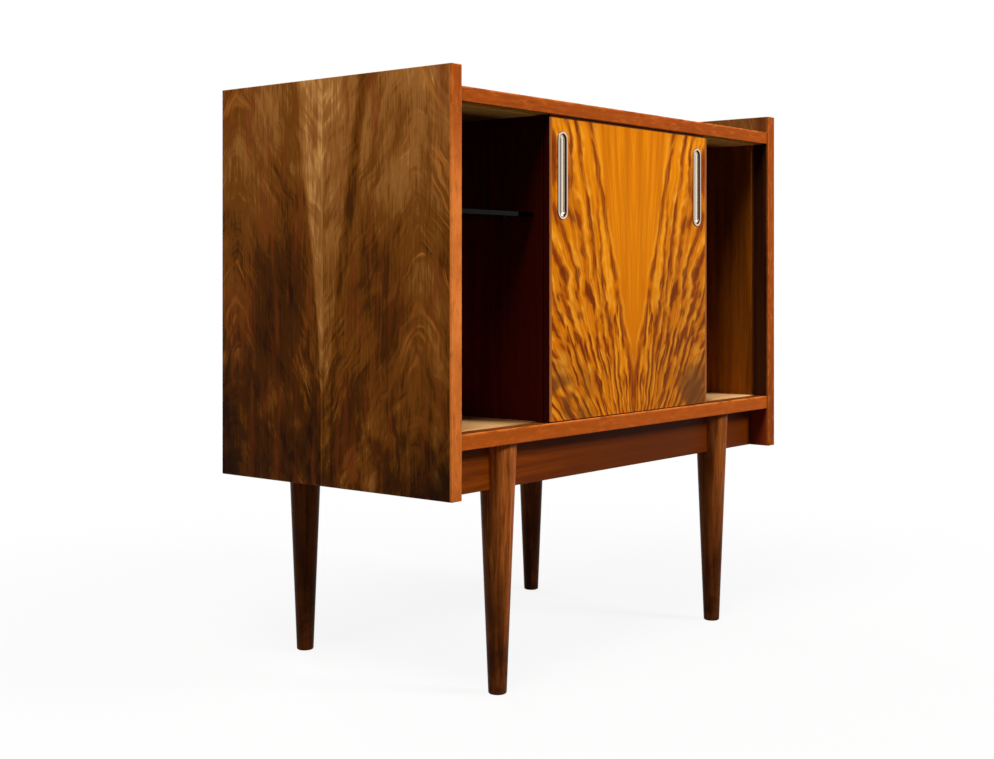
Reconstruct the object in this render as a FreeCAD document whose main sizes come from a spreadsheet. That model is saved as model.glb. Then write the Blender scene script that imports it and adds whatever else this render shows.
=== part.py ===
"""Low cabinet on four turned legs, with one sliding door in front of its middle compartment.

Millimetres, +Z up, +X to the right as seen from the front, the front faces -Y.
The origin is on the floor, under the middle of the cabinet.
Every size is a cell of the sheet, and each piece is bound to those cells by expressions.
"""
import FreeCAD, Part
import os
import re
import Sketcher

Vector = FreeCAD.Vector
Rotation = FreeCAD.Rotation

# Driving sizes, in millimetres
DRIVING = {
    # Outer size and the boards of the case
    "cabinet_width": 760,
    "cabinet_depth": 402,
    "leg_height": 310,
    "interior_height": 388,
    "side_thickness": 18,
    "side_rise": 24,
    "side_drop": 57.5,
    "top_thickness": 18,
    "bottom_thickness": 19,
    "panel_front_setback": 3,
    "lipping_thickness": 3,
    # Back panel, let into a rebate of each side
    "back_thickness": 4,
    "back_setback": 2,
    "back_lap": 8,
    # Inner lining and the two partitions
    "liner_setback": 26,
    "floor_liner_thickness": 1.2,
    "ceiling_liner_thickness": 1.2,
    "wall_liner_thickness": 8,
    "partition_thickness": 16,
    "partition_door_gap": 2,
    # Glass shelf on pins
    "shelf_thickness": 6,
    "shelf_height": 258,
    "shelf_front_setback": 4,
    "shelf_back_gap": 12,
    "shelf_side_gap": 1,
    "pin_diameter": 5,
    "pin_depth": 6,
    "pin_reach": 8,
    "pin_inset": 45,
    # Sliding door with a runner below and a guide above
    "door_width": 376.5,
    "door_thickness": 9,
    "door_front_setback": 5,
    "door_top_gap": 4,
    "door_bottom_gap": 1.5,
    "door_lipping_width": 5,
    "strip_thickness": 4,
    "strip_seat": 8,
    "runner_engagement": 5,
    "guide_engagement": 5,
    "lift_clearance": 6,
    "running_clearance": 0.3,
    "groove_side_clearance": 0.5,
    # Flush pulls
    "pull_length": 112,
    "pull_width": 21,
    "pull_rim_width": 3.2,
    "pull_rim_height": 1.2,
    "pull_rim_rounding": 0.5,
    "pull_wall": 0.8,
    "pull_trough_axis_depth": 0.3,
    "pull_edge_distance": 27.5,
    "pull_top_distance": 16,
    "pull_clearance": 0.2,
    # Rails and turned legs
    "rail_height": 57,
    "rail_thickness": 22,
    "rail_front_setback": 30.5,
    "rail_back_setback": 18.5,
    "leg_inset": 127,
    "leg_axis_inset": 5.5,
    "leg_top_diameter": 48,
    "leg_foot_diameter": 23,
    "foot_rounding": 2.5,
    "corner_block_size": 30,
    "corner_block_height": 46,
    # Screws of the legs, dowels of the case
    "screw_diameter": 5,
    "screw_head_diameter": 10,
    "screw_head_height": 3,
    "screw_bite": 9,
    "screw_spacing": 26,
    "dowel_diameter": 8,
    "dowel_side_depth": 11,
    "dowel_panel_depth": 20,
    "bore_clearance": 0.2,
    "bore_end_gap": 0.5,
    # How far a cutting tool runs past the face that it cuts
    "overrun": 5,
}

# Places and sizes that follow from the driving ones
DERIVED = {
    "half_width": "cabinet_width / 2",
    "inner_half": "half_width - side_thickness",
    "inner_width": "2 * inner_half",
    "front_face": "-cabinet_depth / 2",
    "back_face": "cabinet_depth / 2",
    "floor_level": "leg_height + bottom_thickness",
    "ceiling_level": "floor_level + interior_height",
    "side_bottom": "leg_height - side_drop",
    "side_height": "side_drop + bottom_thickness + interior_height + top_thickness + side_rise",
    "panel_front": "front_face + panel_front_setback",
    "panel_core_front": "panel_front + lipping_thickness",
    "back_inner": "back_face - back_setback - back_thickness",
    "back_height": "bottom_thickness + interior_height + top_thickness",
    "panel_depth": "back_inner - panel_core_front",
    "liner_front": "front_face + liner_setback",
    "liner_depth": "back_inner - liner_front",
    "floor_top": "floor_level + floor_liner_thickness",
    "ceiling_under": "ceiling_level - ceiling_liner_thickness",
    "niche_height": "ceiling_under - floor_top",
    "niche_left": "-inner_half + wall_liner_thickness",
    "niche_right": "-door_width / 2",
    "niche_width": "niche_right - niche_left",
    "shelf_under": "floor_top + shelf_height",
    "shelf_front": "liner_front + shelf_front_setback",
    "shelf_depth": "liner_depth - shelf_front_setback - shelf_back_gap",
    "pin_level": "shelf_under - pin_diameter / 2",
    "door_front": "front_face + door_front_setback",
    "partition_front": "door_front + door_thickness + partition_door_gap",
    "partition_depth": "back_inner - partition_front",
    "door_bottom": "floor_level + door_bottom_gap",
    "door_top": "ceiling_level - door_top_gap",
    "door_height": "door_top - door_bottom",
    "door_middle": "(door_top + door_bottom) / 2",
    "door_core_width": "door_width - 2 * door_lipping_width",
    "strip_front": "door_front + (door_thickness - strip_thickness) / 2",
    "groove_front": "strip_front - groove_side_clearance",
    "groove_width": "strip_thickness + 2 * groove_side_clearance",
    "bottom_groove_depth": "runner_engagement + running_clearance",
    "top_groove_depth": "guide_engagement + lift_clearance",
    "runner_height": "runner_engagement + door_bottom_gap + strip_seat",
    "guide_height": "guide_engagement + door_top_gap + strip_seat",
    "pull_cup_width": "pull_width - 2 * pull_rim_width",
    "pull_cup_length": "pull_length - 2 * pull_rim_width",
    "pull_trough_radius": "pull_cup_width / 2 - pull_wall",
    "pull_trough_length": "pull_cup_length - 2 * pull_wall",
    "pull_cup_depth": "pull_trough_axis_depth + pull_trough_radius + pull_wall",
    "pull_offset": "door_width / 2 - pull_edge_distance",
    "pull_height": "door_top - pull_top_distance - pull_length / 2",
    "rail_bottom": "leg_height - rail_height",
    "rail_front_outer": "front_face + rail_front_setback",
    "rail_front_inner": "rail_front_outer + rail_thickness",
    "rail_back_outer": "back_face - rail_back_setback",
    "rail_back_inner": "rail_back_outer - rail_thickness",
    "leg_offset": "half_width - leg_inset",
    "leg_front_axis": "rail_front_outer + leg_axis_inset",
    "leg_back_axis": "rail_back_outer - leg_axis_inset",
    "screw_level": "leg_height - rail_height / 2",
    "bottom_middle": "leg_height + bottom_thickness / 2",
    "top_middle": "ceiling_level + top_thickness / 2",
    "dowel_length": "dowel_side_depth + dowel_panel_depth",
    "bore_radius": "dowel_diameter / 2 + bore_clearance",
}

# Where the dowels stand along the depth of the top and bottom panels
DOWEL_SHARES = (0.12, 0.5, 0.88)

doc = FreeCAD.newDocument("Cabinet")
sheet = doc.addObject("Spreadsheet::Sheet", "Sizes")
nodes = {}


def fill_sheet():
    """Writes the driving sizes as numbers and the derived ones as formulas, each under its name."""
    row = 0
    for name, value in list(DRIVING.items()) + list(DERIVED.items()):
        row += 1
        text = value if name in DRIVING else "=" + value
        sheet.set("A%d" % row, name)
        sheet.set("B%d" % row, str(text))
        sheet.setAlias("B%d" % row, name)
    doc.recompute()


def size(name):
    """The present value of one named size."""
    return float(sheet.get(name))


def bind(obj, prop, text):
    """Binds a property to an expression written in the sheet's names."""
    known = lambda word: "Sizes." + word if word in DRIVING or word in DERIVED else word
    obj.setExpression(prop, re.sub(r"[a-z_]+", lambda found: known(found.group()), text))


def place(obj, corner):
    """Binds an object's position to three expressions."""
    for axis, text in zip("xyz", corner):
        bind(obj, "Placement.Base." + axis, text)


def node(label, obj):
    """Keeps an object as a sub-part under its own label."""
    obj.Label = label
    nodes[label] = obj
    return obj


def block(name, dimensions, corner):
    """A rectangular board, by its three dimensions and its lowest corner."""
    box = doc.addObject("Part::Box", name)
    for prop, text in zip(("Length", "Width", "Height"), dimensions):
        bind(box, prop, text)
    place(box, corner)
    return box


TURNS = {"x": Rotation(Vector(0, 1, 0), 90), "y": Rotation(Vector(1, 0, 0), -90)}


def rod(name, along, radius, length, start):
    """A round rod that runs from its start towards plus X or plus Y."""
    cylinder = doc.addObject("Part::Cylinder", name)
    cylinder.Placement = FreeCAD.Placement(Vector(), TURNS[along])
    bind(cylinder, "Radius", radius)
    bind(cylinder, "Height", length)
    place(cylinder, start)
    return cylinder


def group(name, pieces):
    """Separate solids kept together."""
    compound = doc.addObject("Part::Compound", name)
    compound.Links = pieces
    return compound


def cut(name, base, tools):
    """A piece with pieces cut away."""
    result = doc.addObject("Part::Cut", name)
    result.Base = base
    result.Tool = tools[0] if len(tools) == 1 else group(name + "_tools", tools)
    return result


def mirrored(name, source):
    """The same piece on the other side of the cabinet."""
    copy = doc.addObject("Part::Mirroring", name)
    copy.Source = source
    copy.Normal = Vector(1, 0, 0)
    return copy


def sketch_on(body, role, name, offset=("0", "0", "0")):
    """A sketch on one of the body's own planes, moved within that plane and along its normal."""
    sketch = body.newObject("Sketcher::SketchObject", name)
    plane = [feature for feature in body.Origin.OriginFeatures if feature.Role == role][0]
    sketch.AttachmentSupport = [(plane, "")]
    sketch.MapMode = "FlatFace"
    for axis, text in zip("xyz", offset):
        bind(sketch, "AttachmentOffset.Base." + axis, text)
    return sketch


def constrain(sketch, name, text, *geometry):
    """A named constraint of a sketch, bound to an expression."""
    index = sketch.addConstraint(Sketcher.Constraint(*geometry))
    sketch.renameConstraint(index, name)
    bind(sketch, "Constraints." + name, text)


def link(sketch, kind, *pairs):
    """Joins points or edges of a sketch by constraints of one kind."""
    for pair in pairs:
        sketch.addConstraint(Sketcher.Constraint(kind, *pair))


def draw_rectangle(sketch, width, height, centred=True):
    """A rectangle about the sketch's origin, or with its lowest corner there."""
    corners = [Vector(-1, -1), Vector(1, -1), Vector(1, 1), Vector(-1, 1)]
    if not centred:
        corners = [corner + Vector(1, 1) for corner in corners]
    for start, end in zip(corners, corners[1:] + corners[:1]):
        sketch.addGeometry(Part.LineSegment(start, end), False)
    link(sketch, "Coincident", (0, 2, 1, 1), (1, 2, 2, 1), (2, 2, 3, 1), (3, 2, 0, 1))
    link(sketch, "Horizontal", (0,), (2,))
    link(sketch, "Vertical", (1,), (3,))
    if centred:
        link(sketch, "Symmetric", (0, 1, 1, 2, -1, 1))
    else:
        link(sketch, "Coincident", (0, 1, -1, 1))
    constrain(sketch, "width", width, "DistanceX", 0, 1, 0, 2, 1)
    constrain(sketch, "height", height, "DistanceY", 1, 1, 1, 2, 1)


def draw_stadium(sketch, width, length):
    """An upright slot with round ends, about the sketch's origin."""
    up, down = Vector(0, 2), Vector(0, -2)
    normal = Vector(0, 0, 1)
    half_turn = FreeCAD.Units.parseQuantity("180 deg").getValueAs("rad").Value
    sketch.addGeometry(Part.ArcOfCircle(Part.Circle(up, normal, 1), 0, half_turn), False)
    sketch.addGeometry(Part.LineSegment(Vector(-1, 2), Vector(-1, -2)), False)
    sketch.addGeometry(Part.ArcOfCircle(Part.Circle(down, normal, 1), half_turn, 2 * half_turn), False)
    sketch.addGeometry(Part.LineSegment(Vector(1, -2), Vector(1, 2)), False)
    link(sketch, "Tangent", (0, 2, 1, 1), (1, 2, 2, 1), (2, 2, 3, 1), (3, 2, 0, 1))
    link(sketch, "Symmetric", (0, 3, 2, 3, -1, 1))
    link(sketch, "Vertical", (1,))
    link(sketch, "Equal", (0, 2))
    constrain(sketch, "end_radius", "(%s) / 2" % width, "Radius", 0, 1)
    constrain(sketch, "centres", "(%s) - (%s)" % (length, width), "DistanceY", 2, 3, 0, 3, 2)


def extrude(body, kind, name, sketch, length=None, reverse=False):
    """A pad or pocket of a sketch; with no length, a pocket goes through both ways."""
    feature = body.newObject("PartDesign::" + kind, name)
    feature.Profile = sketch
    feature.Reversed = reverse
    if length is None:
        feature.SideType = "Symmetric"
        feature.Type = "ThroughAll"
    else:
        bind(feature, "Length", length)
    doc.recompute()
    return feature


def dowel_places():
    """Each dowel's name, its panel's middle height and its place along the depth."""
    for level in ("bottom_middle", "top_middle"):
        for number, share in enumerate(DOWEL_SHARES):
            yield "%s_%d" % (level, number), level, "panel_core_front + panel_depth * %s" % share


def side_panels():
    """Two upright sides: rebated for the back panel, bored for the dowels, lipped in front."""
    board = block("side_board", ("side_thickness", "cabinet_depth - lipping_thickness", "side_height"),
                  ("-half_width", "front_face + lipping_thickness", "side_bottom"))
    rebate = block("side_rebate",
                   ("back_lap + overrun", "back_thickness + back_setback + overrun", "back_height"),
                   ("-inner_half - back_lap", "back_inner", "leg_height"))
    bores = [rod("side_bore_" + name, "x", "bore_radius", "dowel_side_depth + bore_end_gap + overrun",
                 ("-inner_half - dowel_side_depth - bore_end_gap", depth, level))
             for name, level, depth in dowel_places()]
    left = node("side_panel_left", cut("side_panel_left", board, [rebate] + bores))
    node("side_panel_right", mirrored("side_panel_right", left))
    strip = block("side_lipping_left", ("side_thickness", "lipping_thickness", "side_height"),
                  ("-half_width", "front_face", "side_bottom"))
    node("side_lipping_left", strip)
    node("side_lipping_right", mirrored("side_lipping_right", strip))


def case_panel(name, thickness, level, groove_depth, groove_level, dowel_level):
    """A panel between the sides, with the door's groove, bores in both ends and a front lipping."""
    board = block(name + "_board", ("inner_width", "panel_depth", thickness),
                  ("-inner_half", "panel_core_front", level))
    groove = block(name + "_groove", ("inner_width + 2 * overrun", "groove_width", groove_depth),
                   ("-inner_half - overrun", "groove_front", groove_level))
    tools = [groove]
    for bore, place_level, depth in dowel_places():
        if place_level == dowel_level:
            length = "dowel_panel_depth + bore_end_gap + overrun"
            tools.append(rod("left_" + bore, "x", "bore_radius", length,
                             ("-inner_half - overrun", depth, dowel_level)))
            tools.append(rod("right_" + bore, "x", "bore_radius", length,
                             ("inner_half - dowel_panel_depth - bore_end_gap", depth, dowel_level)))
    node(name + "_panel", cut(name + "_panel", board, tools))
    node(name + "_lipping", block(name + "_lipping", ("inner_width", "lipping_thickness", thickness),
                                  ("-inner_half", "panel_front", level)))


def case_dowels():
    """The dowels that join the top and bottom panels to the sides."""
    dowels = []
    for name, level, depth in dowel_places():
        for side, start in (("left", "-inner_half - dowel_side_depth"),
                            ("right", "inner_half - dowel_panel_depth")):
            dowels.append(rod("dowel_%s_%s" % (side, name), "x", "dowel_diameter / 2", "dowel_length",
                              (start, depth, level)))
    node("case_dowels", group("case_dowels", dowels))


def back_panel():
    """A thin panel in the rebates of the sides, behind the top and bottom panels."""
    node("back_panel", block("back_panel", ("inner_width + 2 * back_lap", "back_thickness", "back_height"),
                             ("-inner_half - back_lap", "back_inner", "leg_height")))


def pin_places():
    """Each pin's name, its place along the depth and the X where it starts, on both sides of the shelf."""
    for end, depth in (("front", "shelf_front + pin_inset"), ("back", "shelf_front + shelf_depth - pin_inset")):
        yield "wall_" + end, depth, "niche_left - pin_depth"
        yield "partition_" + end, depth, "niche_right - pin_reach"


def pin_bores(side, start):
    """The bores of one wall for the pins of the shelf."""
    length = "pin_depth + bore_end_gap + overrun"
    return [rod("bore_" + name, "x", "pin_diameter / 2 + bore_clearance", length, (start, depth, "pin_level"))
            for name, depth, _ in pin_places() if name.startswith(side)]


def lining():
    """The light inner lining, and the two partitions that reach forward to just behind the door."""
    node("floor_liner", block("floor_liner", ("inner_width", "liner_depth", "floor_liner_thickness"),
                              ("-inner_half", "liner_front", "floor_level")))
    node("ceiling_liner", block("ceiling_liner", ("inner_width", "liner_depth", "ceiling_liner_thickness"),
                                ("-inner_half", "liner_front", "ceiling_under")))
    wall = block("wall_board", ("wall_liner_thickness", "liner_depth", "niche_height"),
                 ("-inner_half", "liner_front", "floor_top"))
    node("wall_liner_right", mirrored("wall_liner_right", wall))
    node("wall_liner_left", cut("wall_liner_left", wall,
                                pin_bores("wall", "niche_left - pin_depth - bore_end_gap")))
    partition = block("partition_board", ("partition_thickness", "partition_depth", "niche_height"),
                      ("-door_width / 2", "partition_front", "floor_top"))
    node("partition_right", mirrored("partition_right", partition))
    node("partition_left", cut("partition_left", partition, pin_bores("partition", "niche_right - overrun")))


def shelf():
    """The glass shelf of the left niche, on four pins."""
    node("glass_shelf", block("glass_shelf", ("niche_width - 2 * shelf_side_gap", "shelf_depth", "shelf_thickness"),
                              ("niche_left + shelf_side_gap", "shelf_front", "shelf_under")))
    pins = [rod("pin_" + name, "x", "pin_diameter / 2", "pin_depth + pin_reach", (start, depth, "pin_level"))
            for name, depth, start in pin_places()]
    node("shelf_pins", group("shelf_pins", pins))


def leg_places():
    """Each leg's name, its axis in X and Y, its half turn and the faces that its screws run between."""
    for end, axis, turn, shank, head in (
            ("front", "leg_front_axis", 0, "rail_front_outer - screw_bite", "rail_front_inner"),
            ("back", "leg_back_axis", 180, "rail_back_inner", "rail_back_inner - screw_head_height")):
        for side, across in (("left", "-leg_offset"), ("right", "leg_offset")):
            yield "%s_%s" % (end, side), across, axis, turn, shank, head


SCREW_HEIGHTS = {"low": "screw_level - screw_spacing / 2", "high": "screw_level + screw_spacing / 2"}


def screw_bores(name, across, start):
    """The two bores of one leg's screws, through the rail and into the leg."""
    length = "rail_thickness + screw_bite + bore_end_gap + overrun"
    return [rod("%s_%s" % (name, place_name), "y", "screw_diameter / 2 + bore_clearance", length,
                (across, start, level))
            for place_name, level in SCREW_HEIGHTS.items()]


def turned_leg(name, across, axis, turn, bores):
    """A tapered leg: turned, rounded at the foot, and halved at its head where it laps over the rail."""
    body = doc.addObject("PartDesign::Body", "turned_" + name)
    profile = sketch_on(body, "XZ_Plane", "profile_" + name)
    foot, head = size("leg_foot_diameter") / 2, size("leg_top_diameter") / 2
    height, rounding = size("leg_height"), size("foot_rounding")
    corner = Part.Circle(Vector(foot - rounding, rounding), Vector(0, 0, 1), rounding)
    quarter = FreeCAD.Units.parseQuantity("90 deg").getValueAs("rad").Value
    profile.addGeometry(Part.LineSegment(Vector(0, 0), Vector(foot - rounding, 0)), False)
    profile.addGeometry(Part.ArcOfCircle(corner, -quarter, 0), False)
    profile.addGeometry(Part.LineSegment(Vector(foot, rounding), Vector(head, height)), False)
    profile.addGeometry(Part.LineSegment(Vector(head, height), Vector(0, height)), False)
    profile.addGeometry(Part.LineSegment(Vector(0, height), Vector(0, 0)), False)
    link(profile, "Coincident", (0, 1, -1, 1), (4, 2, 0, 1), (2, 2, 3, 1), (3, 2, 4, 1))
    link(profile, "Tangent", (0, 2, 1, 1), (1, 2, 2, 1))
    link(profile, "Horizontal", (0,), (3,))
    link(profile, "Vertical", (4,))
    constrain(profile, "rounding", "foot_rounding", "Radius", 1, rounding)
    constrain(profile, "foot", "leg_foot_diameter / 2", "DistanceX", 0, 1, 1, 2, foot)
    constrain(profile, "head", "leg_top_diameter / 2", "DistanceX", 3, 2, 3, 1, head)
    constrain(profile, "length", "leg_height", "DistanceY", 4, 2, 4, 1, height)
    turning = body.newObject("PartDesign::Revolution", "turning_" + name)
    turning.Profile = profile
    turning.ReferenceAxis = (profile, ["V_Axis"])
    doc.recompute()
    halving = sketch_on(body, "YZ_Plane", "halving_" + name, ("-leg_axis_inset", "rail_bottom", "0"))
    draw_rectangle(halving, "leg_top_diameter / 2 + leg_axis_inset + overrun", "rail_height + overrun", False)
    extrude(body, "Pocket", "lap_" + name, halving)
    body.Placement = FreeCAD.Placement(Vector(), Rotation(Vector(0, 0, 1), turn))
    place(body, (across, axis, "0"))
    node("leg_" + name, cut("leg_" + name, body, bores))


def underframe():
    """Front and back rails with their four legs, the legs' screws and the blocks in the corners."""
    screws = []
    bores = {"front": [], "back": []}
    for name, across, axis, turn, shank, head in leg_places():
        end = name.split("_")[0]
        start = shank + " - bore_end_gap" if end == "front" else shank + " - overrun"
        bores[end] += screw_bores("rail_bore_" + name, across, start)
        turned_leg(name, across, axis, turn, screw_bores("leg_bore_" + name, across, start))
        for place_name, level in SCREW_HEIGHTS.items():
            screw = doc.addObject("Part::Fuse", "screw_%s_%s" % (name, place_name))
            screw.Base = rod(screw.Name + "_shank", "y", "screw_diameter / 2", "rail_thickness + screw_bite",
                             (across, shank, level))
            screw.Tool = rod(screw.Name + "_head", "y", "screw_head_diameter / 2", "screw_head_height",
                             (across, head, level))
            screws.append(screw)
    node("leg_screws", group("leg_screws", screws))
    blocks = []
    for end, rail, block_start in (("front", "rail_front_outer", "rail_front_inner"),
                                   ("back", "rail_back_inner", "rail_back_inner - corner_block_size")):
        board = block("rail_%s_board" % end, ("inner_width", "rail_thickness", "rail_height"),
                      ("-inner_half", rail, "rail_bottom"))
        node("rail_" + end, cut("rail_" + end, board, bores[end]))
        for side, across in (("left", "-inner_half"), ("right", "inner_half - corner_block_size")):
            blocks.append(block("corner_%s_%s" % (end, side),
                                ("corner_block_size", "corner_block_size", "corner_block_height"),
                                (across, block_start, "leg_height - corner_block_height")))
    node("corner_blocks", group("corner_blocks", blocks))


FACING = Rotation(Vector(1, 0, 0), 90)


def facing_body(name, place_at):
    """A body drawn as seen from the front: its own XY plane upright, its Z axis towards the viewer."""
    body = doc.addObject("PartDesign::Body", name)
    body.Placement = FreeCAD.Placement(Vector(), FACING)
    place(body, place_at)
    return body


def door():
    """The sliding door: a lipped panel with a runner below, a guide above and recesses for the pulls."""
    body = facing_body("door_panel", ("0", "door_front", "door_middle"))
    outline = sketch_on(body, "XY_Plane", "door_outline")
    draw_rectangle(outline, "door_core_width", "door_height")
    extrude(body, "Pad", "door_board", outline, "door_thickness", reverse=True)
    for name, edge in (("top", "door_height / 2 - strip_seat"), ("bottom", "-door_height / 2 - overrun")):
        seat = sketch_on(body, "YZ_Plane", "seat_" + name, (edge, "-(door_thickness + strip_thickness) / 2", "0"))
        draw_rectangle(seat, "strip_seat + overrun", "strip_thickness", False)
        extrude(body, "Pocket", "strip_seat_" + name, seat)
    for side, across in (("left", "-pull_offset"), ("right", "pull_offset")):
        recess = sketch_on(body, "XY_Plane", "recess_" + side, (across, "pull_height - door_middle", "0"))
        draw_stadium(recess, "pull_cup_width + 2 * pull_clearance", "pull_cup_length + 2 * pull_clearance")
        extrude(body, "Pocket", "pull_recess_" + side, recess, "pull_cup_depth + pull_clearance")
    node("door_panel", body)
    strip = block("door_lipping_left", ("door_lipping_width", "door_thickness", "door_height"),
                  ("-door_width / 2", "door_front", "door_bottom"))
    node("door_lipping_left", strip)
    node("door_lipping_right", mirrored("door_lipping_right", strip))
    node("door_runner", block("door_runner", ("door_core_width", "strip_thickness", "runner_height"),
                              ("-door_core_width / 2", "strip_front", "floor_level - runner_engagement")))
    node("door_guide", block("door_guide", ("door_core_width", "strip_thickness", "guide_height"),
                             ("-door_core_width / 2", "strip_front", "door_top - strip_seat")))


def flush_pull(side, across):
    """A flush pull: a rounded rim on the door's face round a half-round trough with ball ends."""
    body = facing_body("pull_" + side, (across, "door_front", "pull_height"))
    rim = sketch_on(body, "XY_Plane", "rim_" + side)
    draw_stadium(rim, "pull_width", "pull_length")
    extrude(body, "Pad", "pull_rim_" + side, rim, "pull_rim_height")
    cup = sketch_on(body, "XY_Plane", "cup_" + side)
    draw_stadium(cup, "pull_cup_width", "pull_cup_length")
    extrude(body, "Pad", "pull_cup_" + side, cup, "pull_cup_depth", reverse=True)
    mouth = sketch_on(body, "XY_Plane", "mouth_" + side, ("0", "0", "pull_rim_height"))
    draw_stadium(mouth, "2 * pull_trough_radius", "pull_trough_length")
    extrude(body, "Pocket", "pull_mouth_" + side, mouth, "pull_rim_height + pull_trough_axis_depth")
    hollow = sketch_on(body, "XY_Plane", "hollow_" + side, ("0", "0", "-pull_trough_axis_depth"))
    draw_half_stadium(hollow, "pull_trough_radius", "pull_trough_length")
    trough = body.newObject("PartDesign::Groove", "pull_trough_" + side)
    trough.Profile = hollow
    trough.ReferenceAxis = (hollow, ["V_Axis"])
    doc.recompute()
    rounding = body.newObject("PartDesign::Fillet", "pull_rounding_" + side)
    rounding.Base = (trough, edges_at_height(trough.Shape, size("pull_rim_height")))
    bind(rounding, "Radius", "pull_rim_rounding")
    node("pull_" + side, body)


def draw_half_stadium(sketch, radius, length):
    """Half of an upright slot with round ends: turned about its straight side it gives a capsule."""
    quarter = FreeCAD.Units.parseQuantity("90 deg").getValueAs("rad").Value
    normal = Vector(0, 0, 1)
    sketch.addGeometry(Part.ArcOfCircle(Part.Circle(Vector(0, 2), normal, 1), 0, quarter), False)
    sketch.addGeometry(Part.LineSegment(Vector(0, 3), Vector(0, -3)), False)
    sketch.addGeometry(Part.ArcOfCircle(Part.Circle(Vector(0, -2), normal, 1), -quarter, 0), False)
    sketch.addGeometry(Part.LineSegment(Vector(1, -2), Vector(1, 2)), False)
    link(sketch, "Coincident", (0, 2, 1, 1), (1, 2, 2, 1))
    link(sketch, "Tangent", (2, 2, 3, 1), (3, 2, 0, 1))
    link(sketch, "PointOnObject", (0, 3, -2), (2, 3, -2))
    link(sketch, "Symmetric", (1, 1, 1, 2, -1, 1))
    link(sketch, "Vertical", (1,))
    link(sketch, "Equal", (0, 2))
    constrain(sketch, "end_radius", radius, "Radius", 0, 1)
    constrain(sketch, "length", length, "DistanceY", 1, 2, 1, 1, 6)


def edges_at_height(shape, height):
    """The names of the edges that lie flat at one height."""
    names = []
    for number, edge in enumerate(shape.Edges, start=1):
        box = edge.BoundBox
        if abs(box.ZMin - height) < shape.getTolerance(1) and abs(box.ZMax - height) < shape.getTolerance(1):
            names.append("Edge%d" % number)
    return names


def check_document():
    """Stops if an object failed, a pocket or groove cut nothing, or a sub-part is not sound."""
    for obj in doc.Objects:
        if "Invalid" in obj.State or "Error" in obj.State:
            raise RuntimeError("failed object: " + obj.Name)
        if obj.TypeId in ("PartDesign::Pocket", "PartDesign::Groove"):
            if obj.Shape.Volume >= obj.BaseFeature.Shape.Volume:
                raise RuntimeError("cuts nothing: " + obj.Name)
    for label, obj in nodes.items():
        if obj.Shape.isNull() or not obj.Shape.isValid():
            raise RuntimeError("unsound shape: " + label)


def export_nodes():
    """Writes each sub-part to a file named by its label."""
    os.makedirs("parts", exist_ok=True)
    for label, obj in nodes.items():
        obj.Shape.exportStep("parts/%s.step" % label)
        print("%-20s %d solid(s), %.0f mm3" % (label, len(obj.Shape.Solids), obj.Shape.Volume))


fill_sheet()
side_panels()
case_panel("top", "top_thickness", "ceiling_level", "top_groove_depth", "ceiling_level", "top_middle")
case_panel("bottom", "bottom_thickness", "leg_height", "bottom_groove_depth + overrun",
           "floor_level - bottom_groove_depth", "bottom_middle")
case_dowels()
back_panel()
lining()
shelf()
underframe()
door()
flush_pull("left", "-pull_offset")
flush_pull("right", "pull_offset")
doc.recompute()
check_document()
export_nodes()
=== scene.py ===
"""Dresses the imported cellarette: matched veneers, eased boards, glass, bright pulls and a studio stage."""

import math

import bmesh
import bpy
from bpy.props import FloatProperty, FloatVectorProperty, PointerProperty
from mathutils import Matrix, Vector


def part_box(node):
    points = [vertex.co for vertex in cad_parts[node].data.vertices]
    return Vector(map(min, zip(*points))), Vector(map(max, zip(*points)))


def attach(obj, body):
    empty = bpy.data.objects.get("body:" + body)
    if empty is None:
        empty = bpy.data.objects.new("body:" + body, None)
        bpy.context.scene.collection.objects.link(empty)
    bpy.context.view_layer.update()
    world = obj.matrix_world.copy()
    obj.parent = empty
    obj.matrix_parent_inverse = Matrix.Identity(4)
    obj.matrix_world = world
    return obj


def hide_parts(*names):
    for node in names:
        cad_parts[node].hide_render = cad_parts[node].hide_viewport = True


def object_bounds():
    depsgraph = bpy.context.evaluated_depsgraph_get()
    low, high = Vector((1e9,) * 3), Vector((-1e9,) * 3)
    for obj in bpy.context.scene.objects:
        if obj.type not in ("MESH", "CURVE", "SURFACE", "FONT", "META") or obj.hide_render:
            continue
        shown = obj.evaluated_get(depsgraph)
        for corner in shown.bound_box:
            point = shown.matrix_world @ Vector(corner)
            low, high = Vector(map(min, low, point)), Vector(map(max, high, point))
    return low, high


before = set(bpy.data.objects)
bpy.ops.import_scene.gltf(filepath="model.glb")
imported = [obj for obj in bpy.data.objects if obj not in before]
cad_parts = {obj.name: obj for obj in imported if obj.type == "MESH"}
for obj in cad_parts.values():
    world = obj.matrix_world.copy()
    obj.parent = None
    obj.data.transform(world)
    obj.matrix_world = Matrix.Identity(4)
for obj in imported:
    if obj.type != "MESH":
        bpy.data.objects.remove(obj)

CAD_LOW, CAD_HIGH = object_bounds()

bl_info = {
    "name": "Cellarette dressing",
    "version": (1, 0, 0),
    "blender": (4, 5, 0),
    "location": "View3D > Sidebar > Cellarette",
    "description": "Finishes a cellarette with veneers, lippings, glass, bright pulls and a studio stage",
    "category": "Object",
}

PHOTO_WIDTH = 994
PHOTO_HEIGHT = 759
WHITE = (1.0, 1.0, 1.0, 1.0)
PIN_SEGMENTS = 16
PIN_TAPER = 0.8
FLOOR_SEGMENTS = 96

# Boards: how near two places count as one, steps of an eased edge, and the faces along X, Y and Z
SAME_PLACE = 1e-5
EASING_SEGMENTS = 3
BOARD_FACES = (("left", "right"), ("front", "back"), ("bottom", "top"))
ALL_FACES = frozenset(face for pair in BOARD_FACES for face in pair)

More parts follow.
